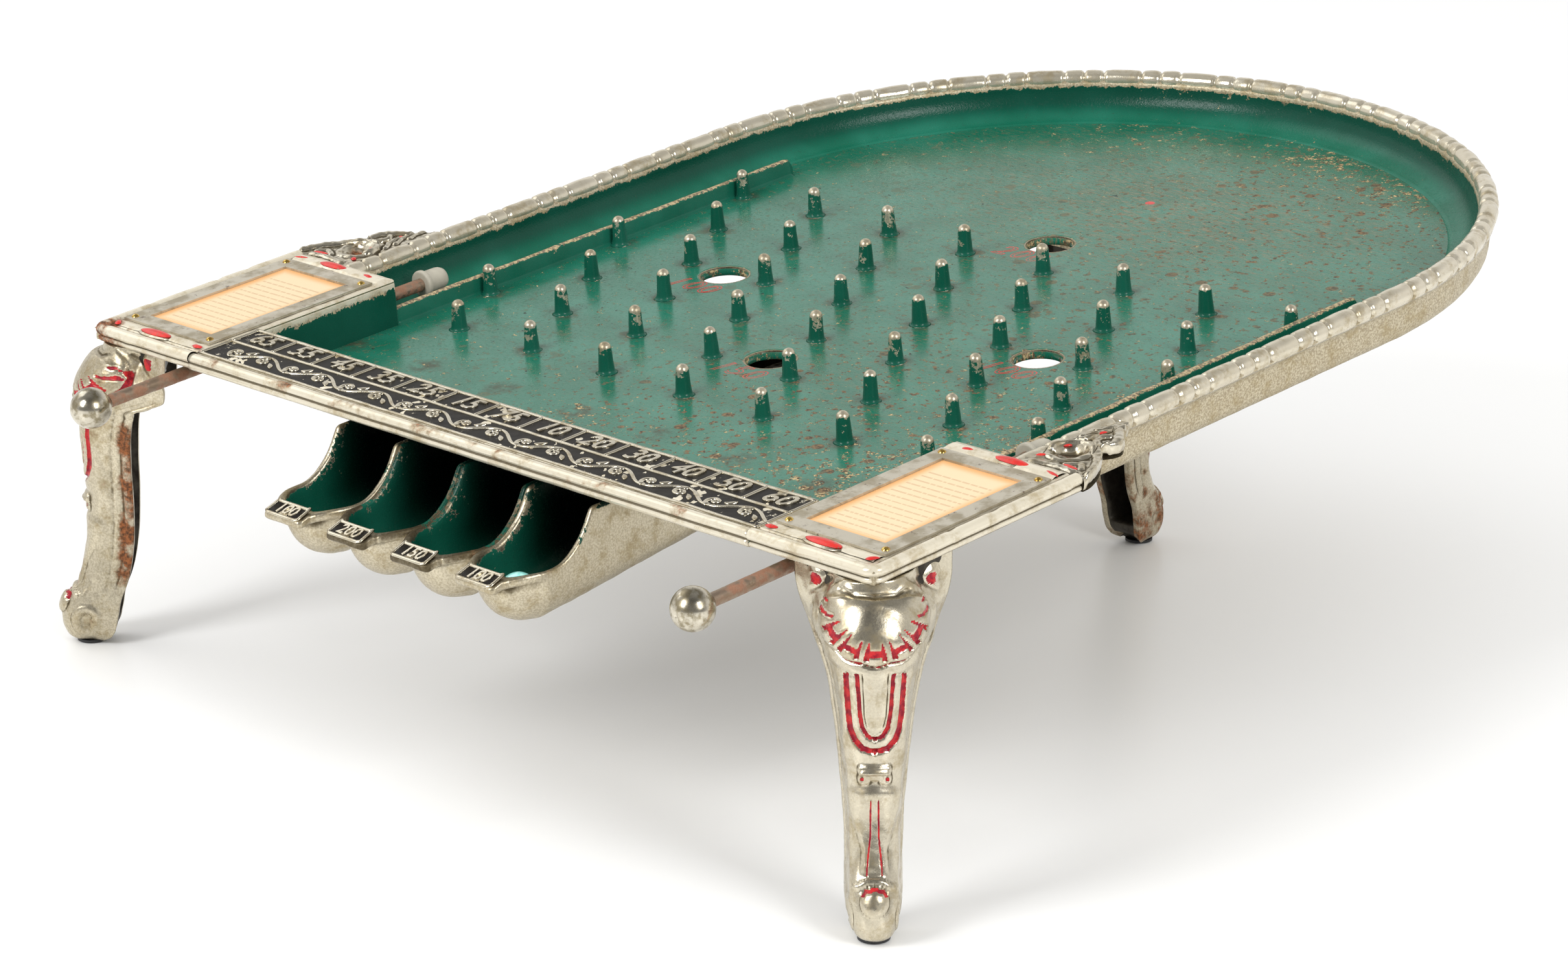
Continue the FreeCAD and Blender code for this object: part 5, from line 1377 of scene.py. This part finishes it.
# The four return cups
def make_cup(number):
    """One cup: a long bowl with a wavy numbered lip, open to the rear, between its two dividers."""
    cx = (number - 1.5) * cup_pitch
    straight = spread((cup_rear_y, -98, 8), (-98.4, -124, 12), (-125, -151.2, 34))
    turns = np.radians(spread((90, 37, 20), (36, 20, 18), (19, 0, 9)))
    turns = np.concatenate([turns, -turns[-2::-1]])
    sy = np.concatenate([straight, np.full(len(turns), cup_centre_y), straight[::-1]])
    dx = np.concatenate([np.ones(len(straight)), np.sin(turns), -np.ones(len(straight))])
    dy = np.concatenate([np.zeros(len(straight)), -np.cos(turns), np.zeros(len(straight))])
    is_front = np.concatenate([np.zeros(len(straight)), np.ones(len(turns)), np.zeros(len(straight))])
    psi = np.abs(np.degrees(np.arctan2(dx, -dy)))
    lip_radius = np.interp(psi, [0, 6, 14, 22.5, 25.5, 28, 31, 36, 44, 59, 75, 90],
                           [26.4, 26.5, 27.0, 27.6, 27.0, 25.4, 23.6, 21.9, 20.9, 20.2, 19.9, cup_outer])
    lip_radius = np.where(is_front > 0, lip_radius, cup_outer)
    divider = [(-160, cup_lip), (-149.5, cup_lip), (-147, -9.25), (-145, -8.6), (-142, -7.2), (-138.7, -4.8),
               (-136, -2.5), (-134, -0.4), (-131.5, 3.0), (-129.5, 6.4), (-128, 8.8), (-126.6, 9.4),
               (-125.4, 9.5), (-124, 9.5), (-98.3, 9.5), (-97.9, -4.3), (cup_rear_y, -4.3)]
    top = np.interp(sy, *np.transpose(divider))
    bed = np.interp(sy, [cup_centre_y, -146, -124, cup_rear_y], [-31.6, -31.2, -29.2, -21.8])
    over = ramp(psi, 88, 66) * is_front
    top = top + 0.3 * over * np.cos(np.radians(np.clip(psi, 0, 60)) * 6)
    high = np.minimum(top - 2.4, bed + 15.5)
    rows = []
    for turn in np.linspace(0, math.pi / 2, 12):
        rows.append((cup_inner * math.sin(turn) ** 0.85, high - (high - bed) * math.cos(turn) ** 0.85))
    rows += [(cup_inner + 0.05, (high + top - 1.4) / 2), (cup_inner + 0.2, top - 1.4)]
    pad = ramp(psi, 30, 24) * is_front
    rows += [(cup_inner + 0.7, top - 0.45 + 1.1 * pad), (cup_inner + 1.5, top - 0.1 + pad_rise * pad),
             (lip_radius - 1.1, top - pad_fall * pad), (lip_radius - 0.35, top - 0.35 - pad_fall * pad),
             (lip_radius, top - 1.2 - pad_fall * pad), (lip_radius, top - 2.6 - 1.2 * pad),
             (lip_radius - 0.5 * over, top - 3.6 - 0.9 * pad),
             (cup_outer - 0.9 * over, top - 4.3 - 0.4 * pad)]
    below = -14.2 - 1.3 * (1 - over)
    outer_radius = cup_outer - 1.3 * over
    for turn in np.linspace(math.pi / 2, 0, 16):
        drop = (below - bed + 3.0) * math.cos(turn) ** 0.92
        rows.append((outer_radius * math.sin(turn) ** 0.92, below - drop))
    reach = np.stack([np.broadcast_to(r, sy.shape) for r, _ in rows], axis=1)
    height = np.stack([np.broadcast_to(z, sy.shape) for _, z in rows], axis=1)
    grid = np.stack([cx + dx[:, None] * reach, sy[:, None] + dy[:, None] * reach, height], axis=2)
    points, faces = surface(grid, towards=-up)
    columns = len(rows)
    flat_column = np.tile(np.arange(columns), len(sy))
    last_inside, last_on_top, first_outside = 14, 18, 22
    outward = flat_column >= first_outside
    points[outward, 2] += ripple(points[outward], 9.0, 300 + number) * 0.12
    first, last = tuple(range(columns)), tuple(range((len(sy) - 1) * columns, len(sy) * columns))
    faces = faces + [first[::-1], last]
    straight_part = np.repeat(is_front < 1, columns)
    nose = ramp(points[:, 1], -122, -128)
    painted = (flat_column <= last_inside) | (straight_part & (flat_column <= last_on_top))
    paint = painted * np.where(straight_part, 1.0, ramp(points[:, 2], cup_lip - 0.3, cup_lip - 2.0))
    edge = ramp(flat_column.astype(float), 11, 15) * straight_part
    wear = 0.03 + 0.26 * edge * nose + 0.22 * nose * straight_part * ramp(flat_column.astype(float), 8, 13)
    # Painted shade: the cup's green is darkened, and its paint turns almost black towards the back of the cup
    painted_cup_shade = painted * ramp(points[:, 1], -150, -112)
    rust = 0.10 + 0.3 * spot(points, cx - cup_outer, -156, 6) + 0.3 * spot(points, cx + cup_outer, -156, 6)
    piece("return_cup_" + str(number + 1), (points, faces), CUP,
          hides=["score_cup_" + str(number + 1)], weld=True,
          masks={"paint": paint, "wear": wear, "rust": rust, "tan": 0.0, "painted_cup_shade": painted_cup_shade, "shade": 0.6})


def make_cup_numbers():
    """The lips' black pads, each with a raised edge and its number, leaning forwards with the lip."""
    ground, relief = [], []
    near, far = -177.6, -170.1
    slope = (pad_rise + pad_fall) / pad_run
    corner = [(-9.9, near + 0.9), (-8.4, near), (8.4, near), (9.9, near + 0.9), (9.6, far + 1.0), (8.6, far)]
    outline = corner + [(-8.6, far), (-9.6, far + 1.0)]

    def leaning(shape):
        points, faces = shape
        points = points.copy()
        points[:, 2] += cup_lip + 0.25 + pad_rise + slope * (points[:, 1] - far)
        return points, faces
    for number, text in enumerate(cup_numbers):
        cx = (number - 1.5) * cup_pitch
        base = [(cx + px, py, -0.9) for px, py in outline]
        face = [(cx + px * 0.99, py, 0.0) for px, py in outline]
        ground.append(leaning(capped_tube(np.array([base, face]))))
        loop = np.array([(cx + px, py, 0.0) for px, py in outline + outline[:2]])
        fine = np.concatenate([np.linspace(a, b, 6)[:-1] for a, b in zip(loop, loop[1:])])
        relief.append(leaning(ribbon(fine, 0.75, 0.45)))
        middle = (near + far) / 2
        relief.append(leaning(figures(text, 8.2, cx, middle, 0.15, 0.24, 0.12, shear=0.15, bold=0.04)))
    piece("lip_grounds", merged(ground), CAST, masks={"black": 1.0, "wear": 0.27}, hollow=False)
    piece("lip_numbers", merged(relief), CAST, masks={"wear": 0.1}, hollow=False)


def make_cup_ears():
    """Four low round ears under the board, two on each side of the cups."""
    profile = [(6.0, -4.3), (6.0, -6.4), (5.6, -7.1), (3.4, -7.2), (0.5, -7.2)]
    shapes = []
    for side in (-1, 1):
        for back in (8.0, 24.0):
            points, faces = lathe(profile, 36)
            shapes.append((points + (side * ear_x, cup_rear_y - back, 0), faces))
    piece("cup_ears", merged(shapes), SAND, masks={"wear": 0.1})


# Brackets
def make_bracket(side, name):
    """A cast scroll that fills the corner between block and rim: two volutes, leaves and enamel dabs."""
    ys = np.linspace(block_rear_y + 0.2, 47.5, 150)
    skirt = 20.6 - rail_edge
    outline = [(-14, 240.0), (-8, 239.7), (-4.5, 238.6), (0, 236.6), (4, 234.4), (8, 231.6), (12, 228.3),
               (14.4, 225.2), (16, 224.0), (18, 224.1), (21, 226.0), (24, 227.0), (28, 226.0), (32, 222.8),
               (38, 217.6), (42, 214.8), (46, 212.6), (49, 211.0)]
    outer = smooth_table(outline, ys)[:, 0]
    top_columns = 92
    share = np.concatenate([np.linspace(0, 1, top_columns), np.ones(5)])
    inner_x = 205.8
    xs = inner_x + (outer[:, None] - inner_x) * share[None, :]
    tail = np.broadcast_to(ys[:, None], xs.shape)
    z = 21.2 - 1.6 * ramp(tail, 26, 47)

    def line(path):
        return path_distance(xs, tail, path)
    scroll = [(240, -7.5), (238.0, -2.5), (235.0, 3.0), (231.0, 8.2), (226.0, 12.2), (220.5, 14.0),
              (214.8, 13.2), (210.6, 9.6), (209.2, 5.2)]
    z = z + 1.7 * bump_of(line(scroll), 3.0)
    second = [(226.0, 16.4), (226.4, 20.6), (224.8, 26.0), (221.0, 31.6), (216.4, 36.4)]
    z = z + 1.5 * bump_of(line(second), 2.4)
    curl = [(225.0, 18.5), (221.0, 18.2), (218.0, 20.8), (217.4, 24.4), (219.4, 27.2)]
    z = z + 1.2 * bump_of(line(curl), 1.6)
    dish = np.hypot(xs - 217.2, (tail - 6.2) * 0.94)
    z = z + 0.9 * bump_of(np.abs(dish - 8.6), 1.7) - 2.6 * ramp(dish, 7.6, 3.0)
    for path, height, half in (([(211, -10), (216, -8.6), (224, -8.2), (232, -9.4)], 0.9, 1.8),
                               ([(224, -4.4), (229.5, -1.2), (233, -5.4)], 0.9, 1.5),
                               ([(209, 15), (212, 19.5), (213.6, 26)], 1.1, 1.7),
                               ([(209.4, 22), (212.6, 28), (213.8, 35)], 1.0, 1.6),
                               ([(210, 31), (213.4, 37), (214.2, 43)], 1.0, 1.5),
                               ([(213.4, 16.2), (216.6, 15.8)], 1.0, 1.2)):
        z = z + height * bump_of(line(path), half)
    seam = [(209.0, 12.0), (211.5, 16.8), (214.6, 20.0), (215.2, 28.0), (215.0, 38.0)]
    z = z - 0.9 * groove_of(line(seam), 0.9)
    z = z - 1.0 * groove_of(line([(223.6, 15.2), (219.6, 16.2), (216.2, 18.4), (215.4, 23.0)]), 0.8)
    flat = np.stack([xs, tail, z], axis=2).reshape(-1, 3)
    z = z + (ripple(flat, 5.0, 400) * 0.20 + ripple(flat, 2.0, 401) * 0.07).reshape(z.shape)
    for k, (shift, drop) in enumerate(((0.35, 0.12), (0.6, 0.3), (0.5, 0.55), (0.1, 0.85), (-0.5, 1.0))):
        xs[:, top_columns + k] += shift
        z[:, top_columns + k] -= drop * skirt
    points, faces = surface(np.stack([xs, tail, z], axis=2))
    rust = 0.12 + 0.55 * (side < 0) * spot(points, 217.2, 6.2, 6.0) + 0.08 * (side < 0)
    shape = sided((points, faces), side)
    piece("bracket_scroll_" + name, shape, CAST, hides=["scroll_bracket_" + name],
          masks={"rust": rust, "wear": 0.1})
    dab_places = ((209.8, -3.2, 21.6, 4.4, 2.6, 40), (212.6, 9.8, 22.0, 3.6, 2.4, 60),
                  (214.2, 29.0, 21.6, 4.0, 2.4, 70), (228.5, -6.8, 21.9, 9.0, 1.8, -8))
    shape = merged([lens(x, y, z_top, length, width, 0.5, angle, 0.1, int(x))
                    for x, y, z_top, length, width, angle in dab_places])
    piece("bracket_dabs_" + name, sided(shape, side), RED, hollow=False)
    under = np.array([[(inner_x, y, rail_edge), (edge - 0.4, y, rail_edge)] for y, edge in zip(ys, outer)])
    shape = surface(under, towards=-up)
    piece("bracket_under_" + name, sided(shape, side), SAND, masks={"wear": 0.1}, hollow=False)


# Studio
def make_stage():
    """The white floor, the room that metal mirrors, and three soft lights."""
    mesh = bpy.data.meshes.new("studio_floor")
    size = 9.0
    corners = [(-size, -size, 0), (size, -size, 0), (size, size, 0), (-size, size, 0)]
    mesh.from_pydata(corners, [], [(0, 1, 2, 3)])
    g = Graph("studio_floor")
    material = g.finish({"Base Color": (0.845, 0.85, 0.85, 1.0), "Roughness": 0.32,
                         "Specular IOR Level": 0.35})
    mesh.materials.append(material)
    floor = bpy.data.objects.new("studio_floor", mesh)
    bpy.context.scene.collection.objects.link(floor)
    floor.location = (0, 0, -0.0004)

    world = bpy.data.worlds.new("studio")
    bpy.context.scene.world = world
    world.use_nodes = True
    tree = world.node_tree
    tree.nodes.clear()

    def node(kind, inputs, **settings):
        return add_node(tree, kind, inputs, **settings)

    # Polished metal mirrors a room that is darker overhead and at the camera's side
    direction = node("ShaderNodeTexCoord", {}).outputs["Generated"]
    height = node("ShaderNodeSeparateXYZ", {0: direction}).outputs[2]
    camera_side = {0: direction, 1: (0.70, -0.70, 0.1)}
    near = node("ShaderNodeVectorMath", camera_side, operation="DOT_PRODUCT").outputs["Value"]
    dim_top = node("ShaderNodeMapRange", {0: height, 1: 0.42, 2: 0.85, 3: 0.88, 4: 0.30},
                   interpolation_type="SMOOTHSTEP").outputs[0]
    dim_near = node("ShaderNodeMapRange", {0: near, 1: 0.0, 2: 0.7, 3: 1.0, 4: 0.26},
                    interpolation_type="SMOOTHSTEP").outputs[0]
    power = node("ShaderNodeMath", {0: dim_top, 1: dim_near}, operation="MULTIPLY").outputs[0]
    path = node("ShaderNodeLightPath", {})
    choice = {0: path.outputs["Is Glossy Ray"], 2: 1.0, 3: power}
    power = node("ShaderNodeMix", choice, data_type="FLOAT").outputs[0]
    sky = node("ShaderNodeBackground", {0: (1.0, 0.992, 0.98, 1.0), 1: power})
    output = node("ShaderNodeOutputWorld", {})
    tree.links.new(sky.outputs[0], output.inputs[0])

    aim = Vector((0, 0, 0.1))

    def softbox(name, place, size, power):
        light = bpy.data.lights.new(name, "AREA")
        light.shape = "RECTANGLE"
        light.size, light.size_y = size
        light.energy = power
        holder = bpy.data.objects.new(name, light)
        bpy.context.scene.collection.objects.link(holder)
        holder.location = place
        holder.rotation_euler = (aim - Vector(place)).to_track_quat("-Z", "Y").to_euler()
    softbox("key_left", (-2.0, -0.4, 2.0), (1.6, 1.4), 9)
    softbox("fill_front_left", (-0.3, -2.3, 1.6), (0.8, 1.2), 38)
    softbox("fill_front_right", (2.4, -0.4, 1.5), (0.8, 1.2), 34)


def make_camera():
    """The photograph's camera: 2.2 m off, 45 degrees round to the right and 18 degrees up."""
    data = bpy.data.cameras.new("camera")
    camera = bpy.data.objects.new("camera", data)
    bpy.context.scene.collection.objects.link(camera)
    data.sensor_width = 36.0
    data.lens = 115.02
    data.clip_start, data.clip_end = 0.05, 60
    position = Vector((1.47625, -1.55665, 0.76252))
    target = Vector((-0.02463, -0.03850, 0.06902))
    camera.location = position
    camera.rotation_euler = (target - position).to_track_quat("-Z", "Y").to_euler()
    bpy.context.scene.camera = camera
    bpy.context.scene.view_settings.view_transform = "Standard"


def dress_cad_nodes():
    """The carried-over pieces: a finish of their own and softened edges on the card frames."""
    finishes = {DARK_IRON: ["return_channel"], STEEL: ["tray_screws", "leg_screws"], FELT: [],
                PAD: ["foot_pads"], BRASS: ["frame_pins"], MARBLE: ["marble"],
                ZINC: ["card_frame_left", "card_frame_right"],
                SAND: ["playfield_front", "playfield_near", "playfield_middle", "playfield_far"],
                CAST: ["rear_leg"] + ["score_cup_" + str(number + 1) for number in range(4)]}
    for side in ("left", "right"):
        finishes[CAST] += [kind + side for kind in ("corner_block_", "scroll_bracket_", "front_leg_")]
        finishes[STEEL] += [kind + side for kind in ("plunger_spring_", "spring_collar_", "collar_pin_")]
        finishes[FELT].append("buffer_washer_" + side)
    for material, names in finishes.items():
        for name in names:
            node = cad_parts[name]
            node.data.materials.clear()
            node.data.materials.append(material)
    for name in ("card_frame_left", "card_frame_right"):
        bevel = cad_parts[name].modifiers.new("soft_edges", "BEVEL")
        bevel.width = 0.25 * MM
        bevel.segments = 2


make_camera()
make_stage()
dress_cad_nodes()
make_tray_wall()
make_rim_beads()
make_floor_coat()
make_pegs()
make_fences()
make_painted_numbers()
make_score_strip()
make_strip_face()
for block_side, block_name in ((1, "right"), (-1, "left")):
    make_block(block_side, block_name)
    make_cards(block_side, block_name)
    make_plunger(block_side, block_name)
    make_bracket(block_side, block_name)
for leg_name in leg_leads:
    make_leg(leg_name)
for cup in range(len(cup_numbers)):
    make_cup(cup)
make_cup_numbers()
make_cup_ears()
